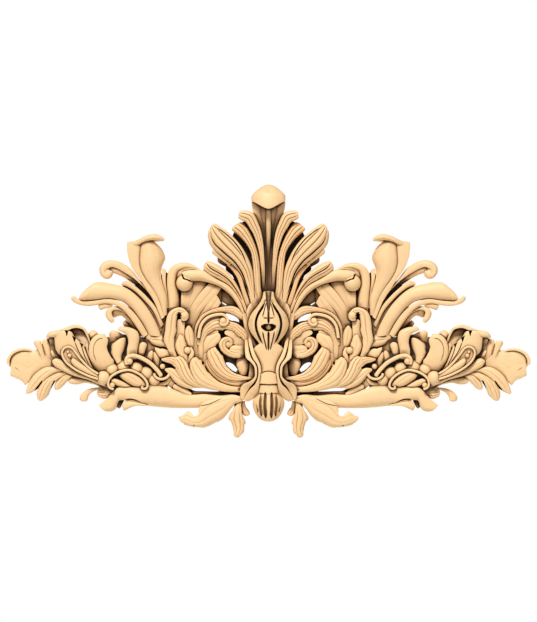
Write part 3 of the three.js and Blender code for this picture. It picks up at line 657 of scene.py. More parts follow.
# %% Tail and fingers
pieces += [
    leaf("wing lobe", (42, 364, 48, 364, 32), (39.5, 354, 44.5, 355, 35), (36, 347.5, 42.5, 347, 36),
        (33.8, 343, 41.5, 342.5, 36), (35.3, 340.4, 40.7, 340.6, 34), tip=0.2),
    leaf("wing lobe", (46, 362, 53, 360, 30), (44.8, 352, 51, 353.5, 34), (42.7, 345.5, 50, 346.5, 35),
        (42.5, 341, 48, 340.5, 35), (44.3, 339, 46.2, 339, 33), tip=0.3),
    leaf("wing lobe", (54, 360, 57, 358, 33), (50.7, 353, 54, 352.5, 35), (50.6, 350, 52.4, 350, 34)),
    leaf("tail", (51, 360, 50, 370, 33), (42, 352, 39, 373, 33), (36, 350, 32, 378, 33),
        (30, 350, 26, 385.5, 32), (24, 348.8, 20, 380.3, 32), (18, 349, 13.5, 378, 31),
        (13, 351.5, 10.3, 375.5, 30), (9.5, 356, 11.7, 369, 28), (8, 362, 9, 366, 26), ribs=2, cut=0.6,
        bow=(0.1, 0.1), tip=0.1, teeth=(0, 5), bite=0.08),
    leaf("tail's rim", (8.6, 364.5, 1.4, 37), (8, 360.5, 1.6, 38), (10.5, 355, 1.5, 37),
        (15, 351.5, 1.4, 36), (21, 349.6, 1.3, 35), (27, 349.6, 1.2, 33.5), (32, 351, 0.9, 31)),
    leaf("long finger", (62, 368.3, 66, 371.5, 38), (48, 366.3, 57, 373, 40), (39, 370, 48, 379, 40),
        (32.5, 376, 42, 385, 39), (28.5, 383.5, 36, 390, 37), (26.3, 390, 30.5, 393, 35),
        (25.5, 393, 27, 394.2, 33), ribs=2, cut=1.2, tip=0.3),
    leaf("middle finger", (68, 370.5, 71, 372.5, 36), (56, 373, 61, 377.5, 39), (45, 379, 54.5, 383, 40),
        (39, 387, 51, 389, 39), (36.7, 393, 48.5, 395, 37), (37.3, 398, 44.5, 399, 35),
        (39, 401, 41.5, 401, 33), ribs=3, cut=1.2, tip=0.3),
    leaf("short finger", (70, 371.8, 74, 375, 36), (62, 375.5, 69, 379.5, 38),
        (56.5, 381, 65.5, 383.5, 37), (54.3, 386.5, 61, 388, 35), (55.3, 390, 57.5, 390, 33), ribs=2,
        cut=1.2, tip=0.3),
    leaf("wood by the wing lobes", (49.5, 352, 3, 26), (49, 344, 3, 26), (48.6, 338.5, 2, 24)),
    leaf("wood by the spoon leaf", (62, 367, 5, 32), (53, 362, 5, 31), (50.5, 356, 4, 29),
        bow=(0.1, 0.1)),
]
print("with the tail:", len(pieces), "pieces")

# %% [markdown]
# A pod with its rim and seeds lies along the middle of the wing, over a leaf like a
# spoon, and a string of berries runs from it to the bands.

# %% Pod and berries
pieces += [
    leaf("spoon leaf", (109, 385, 108, 387.5, 40), (97, 378.7, 97, 383.7, 44), (85, 374, 88, 379.8, 45),
        (75, 369.3, 77, 376.8, 46), (66, 363.3, 67, 373.2, 46), (60, 359.3, 59.5, 369.6, 46),
        (55.5, 358.3, 54.5, 366.3, 45), (52.2, 360.3, 52, 362.2, 41), ribs=2, cut=0.9, tip=0.3),
    rim("pod's rim", 1.1, 56, (98, 379), (90, 376.5), (82, 373), (73.5, 368.3), (66.5, 362.5),
        (62.8, 356.5), (62.3, 351), (65, 347.6), (69, 346.8), (73, 349), (77.3, 354.8), (83.3, 362),
        (90.5, 369), (98.5, 374)),
    leaf("inside of the pod", (98, 374, 97.5, 379, 46), (84, 362, 79, 371.5, 50), (76, 353, 68, 364, 51),
        (70, 347, 62.5, 354, 51), bow=(0, 0), tip=0.1),
    leaf("seed", (98, 374.5, 97.5, 378.3, 52), (88, 367.7, 85, 373, 57), (79, 361.5, 75, 367.3, 59),
        (73.7, 358.2, 71.2, 362.3, 59), (71.7, 359, 71.2, 360.5, 57), bow=(0.8, 0.8)),
    bead("small seed", 69.6, 355.5, 2, 58),
    bead("small seed", 68, 352, 1.4, 57),
    leaf("small leaf", (99, 383, 97, 385.3, 30), (88, 380, 86, 382.8, 32), (78, 377, 78, 384.4, 33),
        (72, 377.5, 71.5, 384, 33), (67.8, 378.3, 68, 381.5, 31), tip=0.3),
]
berries = ((103.2, 378, 7.1, 55), (112, 370, 6.6, 47), (123.6, 367.4, 7.3, 46), (136, 368.8, 7.2, 46),
           (146.4, 373.2, 7.0, 46), (154, 379.6, 6.4, 45))
pieces += [bead("berry", *berry) for berry in berries]
print("with the wing:", len(pieces), "pieces")

# %% [markdown]
# Underneath, a branch runs out from the knob and ends in a claw, with a big leaf of
# four lobes above it.

# %% Big leaf and branch
pieces += [
    leaf("big leaf's first lobe", (241, 386.5, 241, 392, 48), (232, 386, 230, 392, 53),
        (222, 383, 219, 391, 56), (214, 377.5, 209, 389.5, 58), (208, 371, 200, 387, 60),
        (204.3, 364.5, 194, 383, 60), (200.3, 359, 190.3, 376, 59), (196.3, 356.7, 189.5, 368, 58),
        (192, 358.5, 189.8, 363, 55), ribs=3, cut=1.4, tip=0.3, teeth=(4, 0), bite=0.12),
    leaf("big leaf's second lobe", (210, 388.5, 196, 387, 52), (199, 382, 188, 384.3, 56),
        (193.5, 376, 182, 379, 58), (189.8, 369, 178, 371.5, 58), (187, 362.5, 176.5, 366, 57),
        (183.5, 357.8, 174, 361.5, 55), (179, 355.8, 172, 358.3, 52), ribs=3, cut=1.7, bow=(0.2, 0.4),
        tip=0.3, teeth=(4, 0), bite=0.12),
    leaf("big leaf's third lobe", (196, 383, 187, 385, 50), (188, 374, 180, 379, 54),
        (181, 364, 176, 370.5, 55), (175, 357.3, 172, 364.5, 54), (168, 357.2, 166, 362.3, 52),
        (161, 358.6, 161.5, 360.4, 48), ribs=3, cut=1.6, tip=0.4),
    leaf("big leaf's fourth lobe", (206, 389.5, 198, 390.5, 46), (190, 381, 186, 388, 51),
        (180, 373, 176.5, 383.5, 52), (172, 368.1, 170, 376, 52), (165, 368.5, 164.6, 370.2, 48), ribs=2,
        cut=1.2, bow=(0.2, 0.5), tip=0.4),
    leaf("branch", (243, 397, 243, 401, 46), (232, 394.5, 234, 404, 46), (220, 395.3, 222, 406, 44),
        (205, 394, 206, 407.3, 43), (190, 394.5, 190, 407.9, 42), (176, 390, 176, 408, 42),
        (163, 386, 163, 407.3, 42), (150, 384.7, 150, 406, 42), (136, 387, 137, 404.5, 41),
        (125, 387, 127, 401, 40), (118, 387.6, 120.3, 400, 40), (112.5, 392, 117.8, 403, 39),
        (107.5, 398, 116.5, 407.7, 38), (102.5, 402.3, 112, 411.3, 37), (98.3, 405.5, 104.5, 411.4, 35),
        bow=(0.25, 0.6), tip=0.4),
    leaf("wood behind the claw", (122, 398, 3, 12), (119.5, 404, 2.6, 10), (118.4, 408.5, 1.6, 8)),
    leaf("branch's shoulder", (191, 394.5, 1.5, 40), (184, 390.5, 3, 41), (177.5, 387, 3.2, 41),
        (173, 385.5, 2.4, 40)),
    leaf("branch's upper side", (240, 394.5, 2.2, 27), (222, 394.3, 2.8, 28), (206, 393.6, 2.8, 28),
        (192, 393.4, 2.4, 30)),
    leaf("branch's lobe", (146, 404.4, 146, 406, 36), (136, 402.3, 136, 405.7, 38),
        (129.7, 400.7, 129.3, 408.2, 37), (125, 401.5, 124.4, 410.7, 35), (121.8, 403, 122.2, 408.5, 33)),
    leaf("lobe", (118, 388, 114, 393, 30), (110, 389.3, 109, 397, 31), (104, 389.8, 104, 399, 31),
        (96.3, 390.5, 97.3, 396, 29), ribs=3, cut=1.6, tip=0.3),
    leaf("little hook", (108, 386.5, 107, 390, 24), (98, 387.3, 98, 390, 26), (90, 388.5, 93, 391.7, 27),
        (84, 391.5, 89.5, 394.7, 27), (80, 396, 88, 398, 27), (80, 400, 87.5, 400.3, 26),
        (83, 401.8, 85.5, 401.4, 24), tip=0.3),
]
print("with the branch:", len(pieces), "pieces")

# %% [markdown]
# A broad leaf turns outwards below the branch, and another hangs beside the knob. Two
# straps run down from the boss to its root.

# %% Hanging leaves and straps
pieces += [
    leaf("turned-out leaf", (240, 398, 241, 401, 44), (232, 397, 236, 402, 46),
        (222, 396.5, 232, 408.5, 46), (212, 397, 226, 416.5, 46), (204, 398.5, 218, 422.5, 46),
        (199.7, 404, 209, 426.7, 45), (198.5, 410.5, 200.5, 428.2, 44), (192.5, 414, 192, 427, 42),
        (188.3, 411.2, 184.5, 424.7, 40), (182, 415.6, 180.5, 421.5, 38), (178.3, 416.5, 178.3, 418, 35),
        ribs=3, cut=1.1, bow=(0.2, 0.4), tip=0.1, teeth=(0, 5), bite=0.1),
    leaf("hanging leaf", (238.5, 402, 241.5, 402, 40), (234.5, 406.5, 242, 409, 42),
        (230, 411.5, 244, 415, 42), (227.7, 417.5, 246, 421, 40), (230, 422.5, 245.7, 426, 38),
        (232.8, 428, 244, 432, 36), (233, 434, 240.5, 436.3, 34), (235, 437.3, 238, 437.7, 31), ribs=3,
        cut=1.7, tip=0.2, teeth=(4, 4), bite=0.25),
    leaf("wood behind the hanging leaf", (241, 396, 4, 28), (237.6, 403, 3, 26), (235.4, 408, 1.6, 22)),
    leaf("its side lobe", (240.5, 401, 245, 401, 34), (240.5, 407, 246, 406, 32),
        (242, 413, 250, 411.5, 30), (245, 417.3, 251, 414.5, 27), ribs=2, cut=0.9, teeth=(0, 3)),
    leaf("outer strap", (245.6, 333, 247.4, 333, 42), (244.8, 341, 248, 341, 50),
        (245, 351, 249, 351, 72), (246, 358, 251.5, 358.3, 76), (250, 361.5, 254.3, 362, 78),
        (254, 366.3, 256.5, 366.5, 79), (254.8, 371, 257.1, 371.5, 79), (254.5, 377, 256.5, 377.7, 77),
        (249.5, 381.5, 253.3, 383.3, 72), (243.3, 384, 250, 387, 64), (240.4, 388.5, 247.8, 391, 58),
        (240.2, 394, 245.3, 395.5, 54), (240.7, 399, 243.3, 399.8, 50), bow=(0.3, 0.3), tip=0.3),
    leaf("inner strap", (248.4, 333, 250, 332, 44), (248.5, 341, 251.6, 340, 56),
        (250.3, 350, 253.5, 349.5, 77), (252.8, 358, 257, 357.5, 80), (256.9, 364, 260, 363.8, 82),
        (258.4, 370, 261.3, 370, 82), (258, 377, 260.2, 377, 80), (255.3, 384, 259.5, 384, 76),
        (250.9, 388.3, 259.2, 390.5, 70), (247.7, 392.3, 257, 394.8, 64), (245, 396.5, 252.8, 399.2, 58),
        (243.2, 400.2, 248, 401.8, 52), bow=(0.3, 0.5), tip=0.3),
]
print("the left half:", len(pieces), "pieces")

# %% [markdown]
# One Boolean joins a whole collection at once. The manifold solver is meant for closed
# meshes such as these and takes seconds. It takes away all that lies inside another
# leaf, and the result is one closed skin.

# %% Joining
def joined(name, solids):
    """One closed mesh out of many overlapping solids, which are used up."""
    first, *others = solids
    tools = bpy.data.collections.new(name + " tools")
    bpy.context.scene.collection.children.link(tools)
    for solid in others:
        blanks.objects.unlink(solid)
        tools.objects.link(solid)
    union = first.modifiers.new("union", "BOOLEAN")
    union.operation = "UNION"
    union.operand_type = "COLLECTION"
    union.collection = tools
    union.solver = "MANIFOLD"
    graph = bpy.context.evaluated_depsgraph_get()
    mesh = bpy.data.meshes.new_from_object(first.evaluated_get(graph), depsgraph=graph)
    for solid in solids:
        bpy.data.objects.remove(solid)
    bpy.data.collections.remove(tools)
    whole = bpy.data.objects.new(name, mesh)
    blanks.objects.link(whole)
    return whole


left = joined("left half", pieces)
right = mirrored("right half", left)
print("each half has", len(left.data.polygons), "faces")

# %% [markdown]
# The middle line carries the shaft with its cap, the almond boss, the plate below it,
# the collar and the gadrooned knob. Their rungs run from one side to the other.

# %% Middle
def level(row, reach, height):
    """A rung across the middle line, reaching as far to both sides."""
    return (MIDDLE - reach, row, MIDDLE + reach, row, height)


middle = [
    leaf("shaft", level(294, 5, 15), level(262, 5, 17), level(243, 6.5, 22), level(231, 8.5, 29),
        level(221, 12.5, 41), level(212, 15.5, 47), level(201, 17.3, 49), ribs=4, cut=2.6, bow=(0, 0),
        tip=0.1),
    leaf("shaft's ridge", (MIDDLE, 292, 1.2, 15), (MIDDLE, 262, 1.4, 18), (MIDDLE, 247, 1.8, 29),
        (MIDDLE, 236, 2, 40), (MIDDLE, 222, 2.4, 50), (MIDDLE, 206, 1.8, 54)),
    leaf("cap", (251.6, 202, 251.4, 196, 58), (253.5, 201.9, 253.8, 193, 63),
        (257.8, 204, 257.3, 189.8, 68), (263, 207, 263, 185.9, 72), (MIDDLE, 208.8, MIDDLE, 184.5, 73),
        (274, 207, 274, 185.9, 72), (279.2, 204, 279.7, 189.8, 68), (283.5, 201.9, 283.2, 193, 63),
        (285.4, 202, 285.6, 196, 58), bow=(0.1, 0.8), lean=-0.3, tip=0.1),
    leaf("boss", level(346, 8, 82), level(341, 11.2, 85), level(336, 15.2, 87), level(331, 18.4, 88),
        level(325, 20.3, 88.5), level(319, 19.3, 88), level(313, 16.6, 87), level(306, 10.8, 84),
        level(299, 6.6, 80), level(291, 4.8, 75), bow=(0.5, 0.5), tip=0.1),
    leaf("plate", level(343, 8, 82), level(349, 15.5, 81), level(356, 12.6, 79), level(362, 10, 77),
        level(368, 8, 76), level(373, 8, 77), bow=(0.3, 0.3), tip=0.1),
    leaf("neck", level(368, 7.2, 76), level(386, 9.2, 76), bow=(0.3, 0.3), tip=0.1),
    leaf("collar", level(371.8, 8.6, 82), level(384.4, 9.4, 82), bow=(0.35, 0.35), tip=0.1),
    leaf("neck below the collar", level(383, 9.0, 78), level(394, 9.4, 78), bow=(0.4, 0.4), tip=0.1),
    leaf("knob", level(390, 9.2, 74), level(394, 10.5, 76), level(398, 14.3, 79), level(402, 15.9, 80),
        level(407, 15.5, 80), level(413, 13.3, 78), level(418, 9.6, 74), level(421.7, 4.2, 68),
        bow=(0.65, 0.65), tip=0.3),
]
carving = joined("pediment_carving_finished", [left, right, *middle])
print("the carving has", len(carving.data.polygons), "faces")

# %% [markdown]
# Then comes the parting tool. The grooves of one side are drawn and mirrored: the line
# round the boss, the flutes of the knob and the darkest veins of the crown.

# %% Grooves
cuts = [
    groove("boss's line", 1.25, (265.6, 301, 67), (262.3, 307.5, 67), (258.3, 314, 67), (256.2, 320, 67),
        (255.9, 326, 67), (257.2, 332, 68), (260, 339, 70), (262.2, 343, 72)),
    groove("hollow along the boss's line", 3.2, (266, 299, 74), (261.5, 307.5, 78), (257.5, 314, 79.5),
        (255.4, 320, 80), (255.2, 326, 80), (256.6, 332, 80), (259.5, 339, 79), (262.5, 344, 78),
        slope=0.6),
    groove("beside the tongue", 0.8, (262.6, 331.5, 80), (263.8, 338, 80), (265.3, 344, 78),
        (266.7, 350, 75)),
    groove("facet", 0.6, (266.2, 303, 73), (264.6, 309, 78), (262.5, 317, 82)),
    groove("flute", 1.5, (257, 396, 68), (255.9, 404, 67), (258, 412.5, 64), slope=1.5),
    groove("flute", 2.1, (261, 392.5, 69), (260, 404, 69), (261.5, 416.5, 64), slope=1.6),
    groove("flute", 2.0, (265.4, 392, 69), (264.9, 405, 71), (265.8, 418.5, 64), slope=1.8),
    groove("vein", 0.45, (199, 406, 39), (210, 403.8, 41), (222, 398, 42)),
    groove("vein", 0.5, (74.5, 341.5, 44), (79, 352, 44), (87, 364, 40)),
    groove("vein", 0.5, (81.8, 347, 40), (84.3, 355, 40), (89.5, 366, 38)),
    groove("crown's dark vein", 0.8, (210.5, 235, 61), (214.5, 243.5, 61), (223.5, 252.3, 58),
        (234, 261.5, 54), (241.5, 272, 46), (246, 284, 38), (249.5, 294, 32)),
    groove("shade beside the shaft", 0.8, (257.4, 254, 50), (260, 264, 42), (261, 275, 32),
        (261.6, 286, 24), (262, 294, 20)),
    groove("crown's upper vein", 0.6, (215.5, 227, 60), (224, 232.5, 61), (233.5, 241, 58),
        (241.5, 252, 54), (246.5, 264, 50)),
    groove("low leaf's vein", 0.8, (206.3, 263.5, 53), (211, 268.5, 54), (220.5, 274, 54),
        (229, 280.3, 53), (236, 289.5, 50), (242, 300, 46)),
]
print("grooves:", len(cuts))

# %% [markdown]
# A fretsaw opens the few places where the wall shows through.

# %% Holes
cuts += [
    hole("bay of the turned-out leaf", (191.8, 412.8, 198.6, 409.5), (193, 415, 198.4, 413),
        (194.7, 416.4, 197.3, 415.5)),
    hole("gap under the crescent", (226, 314.2, 226.3, 313.3), (230, 320, 231, 314.6),
        (235, 321, 235, 316.4), (239.2, 322.2, 238.6, 319.2)),
    hole("gap inside the big crescent", (225.6, 363.5, 226.5, 362.5), (228, 366.5, 229.5, 362.6),
        (232, 370, 233.5, 364.7), (236, 372, 237.6, 369.5)),
    hole("slit over the branch", (191, 389, 191, 388.4), (195, 390.8, 196, 388), (203, 391.1, 204, 388.2),
        (211, 391.4, 212, 390), (218.5, 391.5, 218.5, 390.8)),
    hole("small gap by the fan", (222, 303, 222.4, 302.2), (226, 305.6, 226.4, 304.4)),
    hole("small gap by the berries", (167.5, 386, 168.5, 386), (168.3, 388.8, 172, 388.8)),
]
print("with the holes:", len(cuts), "cuts")

# %% [markdown]
# Fine lines, shades and nicks come last, with the pockets between the leaves.

# %% Shades, creases and nicks
cuts += [
    groove("shell's line", 0.6, (96, 361, 45), (93.3, 352, 47), (94.5, 344, 48), (98.5, 339.3, 48),
        (103, 338.2, 48)),
    groove("branch's shade", 0.8, (122, 402.2, 30), (126.5, 399.6, 30), (134, 399.8, 32), (144, 404, 36)),
    groove("crown's vein", 0.35, (255, 300, 46), (254, 290, 50), (253.6, 278, 52)),
    groove("tip's nick", 0.6, (192.6, 428.5, 20), (194.3, 424.8, 32)),
    groove("gap between the fingers", 0.9, (42.5, 380.5, 22), (39, 385.5, 12), (34.5, 391, 8)),
    groove("gap between the fingers", 0.8, (54.7, 380, 24), (52.8, 384.5, 12), (51.2, 389.5, 8)),
    groove("tail's crease", 0.4, (15, 367.5, 28), (20, 371, 31)),
    groove("tail's other crease", 0.6, (27.5, 382.5, 26), (30.5, 379.5, 31)),
    notch("nick in the arm", (181, 273.6, 182.6, 273.6, 40), (183, 279, 184.4, 277.8, 40),
        (186, 280, 187, 278.8, 40), (191.5, 282.4, 191.7, 280.8, 42)),
    notch("nick in the wing", (64.3, 330.2, 68.7, 330.2, 26), (65.8, 333.2, 67.8, 333, 26),
        (66.4, 336, 67.1, 336, 26)),
    notch("nick in the wing", (71.8, 335, 76, 338, 28), (73, 338.5, 75.4, 340, 28),
        (74.1, 341.8, 74.9, 341.8, 28)),
    notch("nick in the wing", (79, 342, 83.5, 344.5, 28), (80.6, 345, 82.7, 346, 28),
        (81.6, 348.3, 82.3, 348.3, 28)),
    notch("hole by the big leaf", (161.5, 361, 161.5, 370, 22), (166, 362.4, 166, 366.8, 24),
        (171, 364.6, 170.6, 367.6, 24), (174.5, 366.6, 173, 368.3, 24), (176, 367.8, 175.5, 368.6, 24)),
    notch("notch of the big leaf", (201.6, 361.5, 204.6, 361.5, 20), (202.2, 364.8, 203.6, 364.8, 20)),
    notch("eye of the eyed leaf", (177.6, 312, 179.2, 311.8, 40), (179, 315.2, 180.8, 314.2, 40),
        (181.3, 316.4, 181.9, 315.2, 40)),
]
side_cuts = joined("cuts of one side", cuts)
print("one side has", len(cuts), "cuts")

# %% [markdown]
# The boss has a slit tongue, a lip, a socket for a seed and a fork at its top, and two
# lines ring the collar. All lie on the middle line, so the cuts reach to both its sides.

# %% Cuts on the middle line
middle_cuts = [
    groove("slit in the tongue", 1.2, (MIDDLE, 331, 76), (MIDDLE, 336, 77), (MIDDLE, 344, 76),
        (MIDDLE, 350.6, 74)),
    groove("line over the lip", 1.2, (MIDDLE, 304, 76), (MIDDLE, 311, 80), (MIDDLE, 318, 78),
        (MIDDLE, 324, 74)),
    groove("lip", 0.8, (263, 317.8, 83.5), (MIDDLE, 318.2, 82.5), (274, 317.8, 83.5)),
    notch("socket", (261, 327.6, 261, 325.4, 76), (264.6, 330.6, 264.6, 323.8, 68),
        (MIDDLE, 331.3, MIDDLE, 323.8, 66), (272.4, 330.6, 272.4, 323.8, 68),
        (276, 327.6, 276, 325.4, 76)),
    notch("fork of the boss", level(287, 3.4, 22), level(295, 3.0, 44), level(301, 2.4, 56),
        level(306, 1.9, 65), level(311, 1.1, 76)),
    groove("line over the collar", 0.75, (260.2, 373.8, 70), (264, 371.8, 73), (MIDDLE, 371, 74),
        (273, 371.8, 73), (276.8, 373.8, 70)),
    groove("line under the collar", 0.6, (259, 384.7, 68), (MIDDLE, 384.7, 75), (278, 384.7, 68)),
]
print("cuts on the middle line:", len(middle_cuts))

# %% [markdown]
# The back is planed flat by a block as large as a wall, in the same cut as the grooves.
# The seeds are set after it, because they stand in pockets. They start inside the wood,
# so that their feet don't come out of the back.

# %% The cut, the flat back and the seeds
WALL = 2.0                              # as wide and as tall as this, in metres
WALL_THICK = 20 * BACK_ALLOWANCE * MM

bm = bmesh.new()
bmesh.ops.create_cube(bm, size=1.0)
bmesh.ops.scale(bm, vec=(WALL, WALL_THICK, WALL), verts=bm.verts)
bmesh.ops.translate(bm, vec=(0, WALL_THICK / 2, 0), verts=bm.verts)
wall = blank("wall", bm)
other_cuts = mirrored("cuts of the other side", side_cuts)
cutters = joined("cutters", [wall, side_cuts, other_cuts, *middle_cuts])
seeds = joined("seeds", [
    bead("seed in the socket", MIDDLE, 327.2, 2.9, 79, foot=GROUND / 2),
    bead("seed in the hole", 162.5, 366.4, 2.6, 50, foot=GROUND / 2),
    bead("seed in the other hole", 2 * MIDDLE - 162.5, 366.4, 2.6, 50, foot=GROUND / 2),
])
for operation, other in (("DIFFERENCE", cutters), ("UNION", seeds)):
    step = carving.modifiers.new(operation, "BOOLEAN")
    step.operation = operation
    step.object = other
    step.solver = "MANIFOLD"
    graph = bpy.context.evaluated_depsgraph_get()
    mesh = bpy.data.meshes.new_from_object(carving.evaluated_get(graph), depsgraph=graph)
    carving.modifiers.clear()
    carving.data = mesh
    bpy.data.objects.remove(other)
print("after the cut:", len(carving.data.polygons), "faces")

# %% [markdown]
# A Boolean can leave an edge that four faces share, or a crumb no larger than a grain of
# dust. Such an edge is drawn together to a point. The skin is what can be reached from
# the wing's end over edges, and whatever lies apart from it is a crumb.

# %% One clean skin
SHARPEST_SMOOTH = math.radians(35)   # a steeper crease stays a crisp gouge mark

bm = bmesh.new()
bm.from_mesh(carving.data)
bmesh.ops.triangulate(bm, faces=[f for f in bm.faces if len(f.verts) > 4])
pinched = [e for e in bm.edges if len(e.link_faces) > 2]
bmesh.ops.collapse(bm, edges=pinched)
bmesh.ops.delete(bm, geom=[e for e in bm.edges if not e.link_faces], context="EDGES")
wing_end = min(bm.verts, key=lambda v: v.co.x)
skin, waiting = {wing_end}, [wing_end]
while waiting:
    corner = waiting.pop()
    near = {e.other_vert(corner) for e in corner.link_edges} - skin
    skin |= near
    waiting += near
crumbs = [v for v in bm.verts if v not in skin]
bmesh.ops.delete(bm, geom=crumbs, context="VERTS")
print("pinched edges closed up:", len(pinched), "corners of loose crumbs:", len(crumbs))
open_edges = sum(1 for e in bm.edges if not e.is_manifold)
bm.to_mesh(carving.data)
bm.free()
carving.data.calc_loop_triangles()
print("triangles:", len(carving.data.loop_triangles), "open edges:", open_edges)

blanks.objects.unlink(carving)
bpy.context.scene.collection.objects.link(carving)
bpy.data.collections.remove(blanks)
carving.data.polygons.foreach_set("use_smooth", [True] * len(carving.data.polygons))
carving.data.set_sharp_from_angle(angle=SHARPEST_SMOOTH)

# %% [markdown]
# Painted shade darkens the recesses, where shade falls. To find those places, a ray from the
# front measures how high the carving stands over each cell of a fine grid.

# %% How high the carving stands
CELL = 1.0 * MM
MARGIN = 30            # cells around the carving
IN_FRONT = -0.2        # where the rays start, in metres
AHEAD = Vector((0, 1, 0))
(low_x, low_y, low_z), (high_x, high_y, high_z) = cad_box
across_cells = int((high_x - low_x) / CELL) + 2 * MARGIN
up_cells = int((high_z - low_z) / CELL) + 2 * MARGIN
surface = BVHTree.FromObject(carving, bpy.context.evaluated_depsgraph_get())
heights = np.zeros((up_cells, across_cells), dtype=np.float32)
for row in range(up_cells):
    for column in range(across_cells):
        eye = Vector((low_x + (column - MARGIN) * CELL, IN_FRONT, low_z + (row - MARGIN) * CELL))
        hit = surface.ray_cast(eye, AHEAD)[0]
        if hit:
            heights[row, column] = -hit.y
print("the carving stands up to", round(float(heights.max()), 4), "m off the wall")

# %% [markdown]
# Each point is then set against the mean height around it, near by and further off. What
# lies well below its surroundings gets darker painted shade. The number is kept on the mesh, so
# that the material can read it. The planed back gets no painted shade, so it stays plain.

# %% How hollow each place is
PAINTED_SHADE_SPANS = ((1.6, 3.5), (4, 9), (10, 22))   # mm around a point, and mm deep for the darkest painted shade
BACK_SKIN = -0.5 * MM                      # what lies behind this is the planed back


def spread(grid, radius):
    """A grid blurred over a radius in metres."""
    reach = int(3 * radius / CELL)
    steps = np.arange(-reach, reach + 1) * CELL
    weights = np.exp(-0.5 * (steps / radius) ** 2)
    weights /= weights.sum()
    rows = np.apply_along_axis(np.convolve, 1, grid, weights, mode="same")
    return np.apply_along_axis(np.convolve, 0, rows, weights, mode="same")


count = len(carving.data.vertices)
places = np.empty(3 * count, dtype=np.float32)
carving.data.vertices.foreach_get("co", places)
places = places.reshape(-1, 3)
columns = ((places[:, 0] - low_x) / CELL + MARGIN).round().astype(int).clip(0, across_cells - 1)
rows = ((places[:, 2] - low_z) / CELL + MARGIN).round().astype(int).clip(0, up_cells - 1)
# hollow: how strongly each point is darkened with painted shade, from 0 to 1
hollow = np.zeros(count, dtype=np.float32)
for radius, full in PAINTED_SHADE_SPANS:
    below = spread(heights, radius * MM)[rows, columns] + places[:, 1]
    hollow = np.maximum(hollow, np.clip(below / (full * MM), 0, 1))
hollow[places[:, 1] > BACK_SKIN] = 0.0
layer = carving.data.attributes.new("hollow", "FLOAT", "POINT")
layer.data.foreach_set("value", hollow)
print("mean hollow", round(float(hollow.mean()), 3))

# %% [markdown]
# A colour picked on a screen is an sRGB hex code, but Blender adds up light in linear
# values, so one function turns the one into the other. Another adds a node.

# %% A colour and a node
def linear(code):
    """An sRGB hex colour as linear red, green, blue and alpha."""
    parts = [int(code[i:i + 2], 16) / 255 for i in (1, 3, 5)]
    return [p / 12.92 if p <= 0.04045 else ((p + 0.055) / 1.055) ** 2.4 for p in parts] + [1.0]


def node(net, kind, settings=(), links=()):
    """Adds a node, sets its properties and sockets, and links sockets to it."""
    new = net.nodes.new(kind)
    for key, value in dict(settings).items():
        if isinstance(key, str) and hasattr(new, key):
            setattr(new, key, value)
        else:
            new.inputs[key].default_value = value
    for key, source in dict(links).items():
        net.links.new(source, new.inputs[key])
    return new


print("pale lime in linear values:", linear("#FBDAB0"))

# %% [markdown]
# The wood is pale lime or beech under a thin satin wax. Lime has hardly any figure, so
# the grain is only a faint, long streak, drawn coarser than the real one so that it
# shows at all. Rubbed wax gives a soft sheen, neither dull nor glossy. Painted shade
# darkens the wood in the hollows, where shade falls.

# %% Limewood with a satin wax and painted shade
STREAKS = (48.0, 360.0, 360.0)   # a metre: a streak is 21 mm long and 3 mm wide
# painted shade: colours that multiply the wood, from the open surface down to the deepest hollows
PAINTED_SHADE_STOPS = (("#FFFFFF", 0.0), ("#B7AA9D", 0.26), ("#736456", 0.6), ("#241810", 1.0))

limewood = bpy.data.materials.new("waxed limewood with painted shade")
limewood.use_nodes = True
net = limewood.node_tree
shader = net.nodes["Principled BSDF"]
place = node(net, "ShaderNodeTexCoord")
drawn_out = node(net, "ShaderNodeMapping", {"Scale": STREAKS}, {"Vector": place.outputs["Object"]})
grain = node(net, "ShaderNodeTexNoise", {"Scale": 1.0, "Detail": 4.0},
             {"Vector": drawn_out.outputs["Vector"]})
figure = node(net, "ShaderNodeMix", {"data_type": "RGBA", 6: linear("#F7CD9E"), 7: linear("#FBDAB0")},
              {0: grain.outputs["Fac"]})
# the painted shade is read from the mesh and turned into a darkening colour
painted_shade_amount = node(net, "ShaderNodeAttribute", {"attribute_name": "hollow"})
ramp = node(net, "ShaderNodeValToRGB", (), {"Fac": painted_shade_amount.outputs["Fac"]})
stops = ramp.color_ramp.elements
stops[0].color, stops[1].color = linear(PAINTED_SHADE_STOPS[0][0]), linear(PAINTED_SHADE_STOPS[-1][0])
for code, depth in PAINTED_SHADE_STOPS[1:-1]:
    stops.new(depth).color = linear(code)
# the wood's colour multiplied by the painted shade
wood_with_painted_shade = node(net, "ShaderNodeMix", {"data_type": "RGBA", "blend_type": "MULTIPLY", 0: 1.0},
             {6: figure.outputs[2], 7: ramp.outputs["Color"]})
net.links.new(wood_with_painted_shade.outputs[2], shader.inputs["Base Color"])
shader.inputs["Roughness"].default_value = 0.5
shader.inputs["IOR"].default_value = 1.48
carving.data.materials.clear()
carving.data.materials.append(limewood)
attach(carving, "root")
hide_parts("pediment_carving")
print("material:", limewood.name)

# %% [markdown]
# The photograph looks straight at the carving, so the camera is square to the wall and
# has no perspective. It takes in the whole pattern sheet, which is 622 squares tall.

# %% Camera
SHEET_TALL = 622 * SQUARE * MM
CAMERA_AWAY = 2.5

camera = bpy.data.objects.new("camera", bpy.data.cameras.new("camera"))
camera.data.type = "ORTHO"
camera.data.ortho_scale = SHEET_TALL
camera.location = (0, -CAMERA_AWAY, 0)
camera.rotation_euler = (math.pi / 2, 0, 0)
bpy.context.scene.collection.objects.link(camera)
bpy.context.scene.camera = camera
bpy.context.scene.view_settings.view_transform = "Standard"
print("the camera sees", SHEET_TALL, "m from top to bottom")

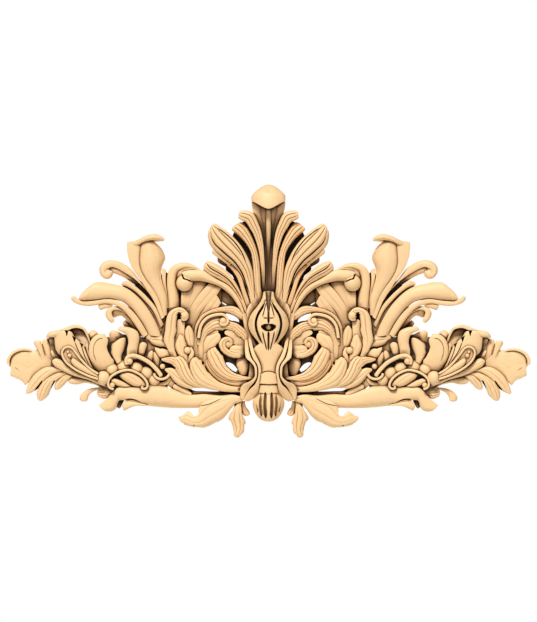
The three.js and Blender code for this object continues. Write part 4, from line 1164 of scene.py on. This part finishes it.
# %% [markdown]
# One soft light from above on the left models the leaves. A wide, weaker one fills the
# shadows from the front. A third comes from behind, because the flat back would be nearly
# black without it. An even surround lights the rest and looks like white paper.

# %% Lights
def lamp(name, energy, width, tilt, turn, tint=(1.0, 1.0, 1.0)):
    """A far light, soft by its width in the sky, tilted about X and turned about Z."""
    light = bpy.data.objects.new(name, bpy.data.lights.new(name, "SUN"))
    light.data.energy = energy
    light.data.color = tint
    light.data.angle = math.radians(width)
    light.rotation_euler = (math.radians(tilt), 0, math.radians(turn))
    bpy.context.scene.collection.objects.link(light)


lamp("soft sun", 2.75, 14, 47, -12, (1.0, 0.965, 0.87))
lamp("skylight", 0.6, 60, 12, 0, (0.9, 1.0, 0.62))
lamp("light on the back", 1.0, 30, -88, 15)

world = bpy.data.worlds.new("white surround")
world.use_nodes = True
bpy.context.scene.world = world
sky = world.node_tree
seen = node(sky, "ShaderNodeLightPath")
fill = sky.nodes["Background"]
fill.inputs["Color"].default_value = linear("#FFF4EC")
fill.inputs["Strength"].default_value = 0.21
paper = node(sky, "ShaderNodeBackground", {"Color": linear("#FFFFFF"), "Strength": 1.0})
either = node(sky, "ShaderNodeMixShader", (),
              {0: seen.outputs["Is Camera Ray"], 1: fill.outputs[0], 2: paper.outputs[0]})
sky.links.new(either.outputs[0], sky.nodes["World Output"].inputs["Surface"])
print("lights are set")

# %% [markdown]
# A plain pale floor lies well below the carving, out of the camera's view, because the
# real piece hangs on a wall. It only shows from other sides.

# %% Floor
FLOOR_DOWN = 0.9
FLOOR_REACH = 3.0

bm = bmesh.new()
bmesh.ops.create_grid(bm, x_segments=1, y_segments=1, size=FLOOR_REACH)
floor_mesh = bpy.data.meshes.new("floor")
bm.to_mesh(floor_mesh)
bm.free()
floor = bpy.data.objects.new("floor", floor_mesh)
floor.location = (0, 0, -FLOOR_DOWN)
pale = bpy.data.materials.new("pale floor paint")
pale.use_nodes = True
pale.node_tree.nodes["Principled BSDF"].inputs["Base Color"].default_value = linear("#F4F2EE")
floor_mesh.materials.append(pale)
bpy.context.scene.collection.objects.link(floor)
print("the floor lies", FLOOR_DOWN, "m below the middle")
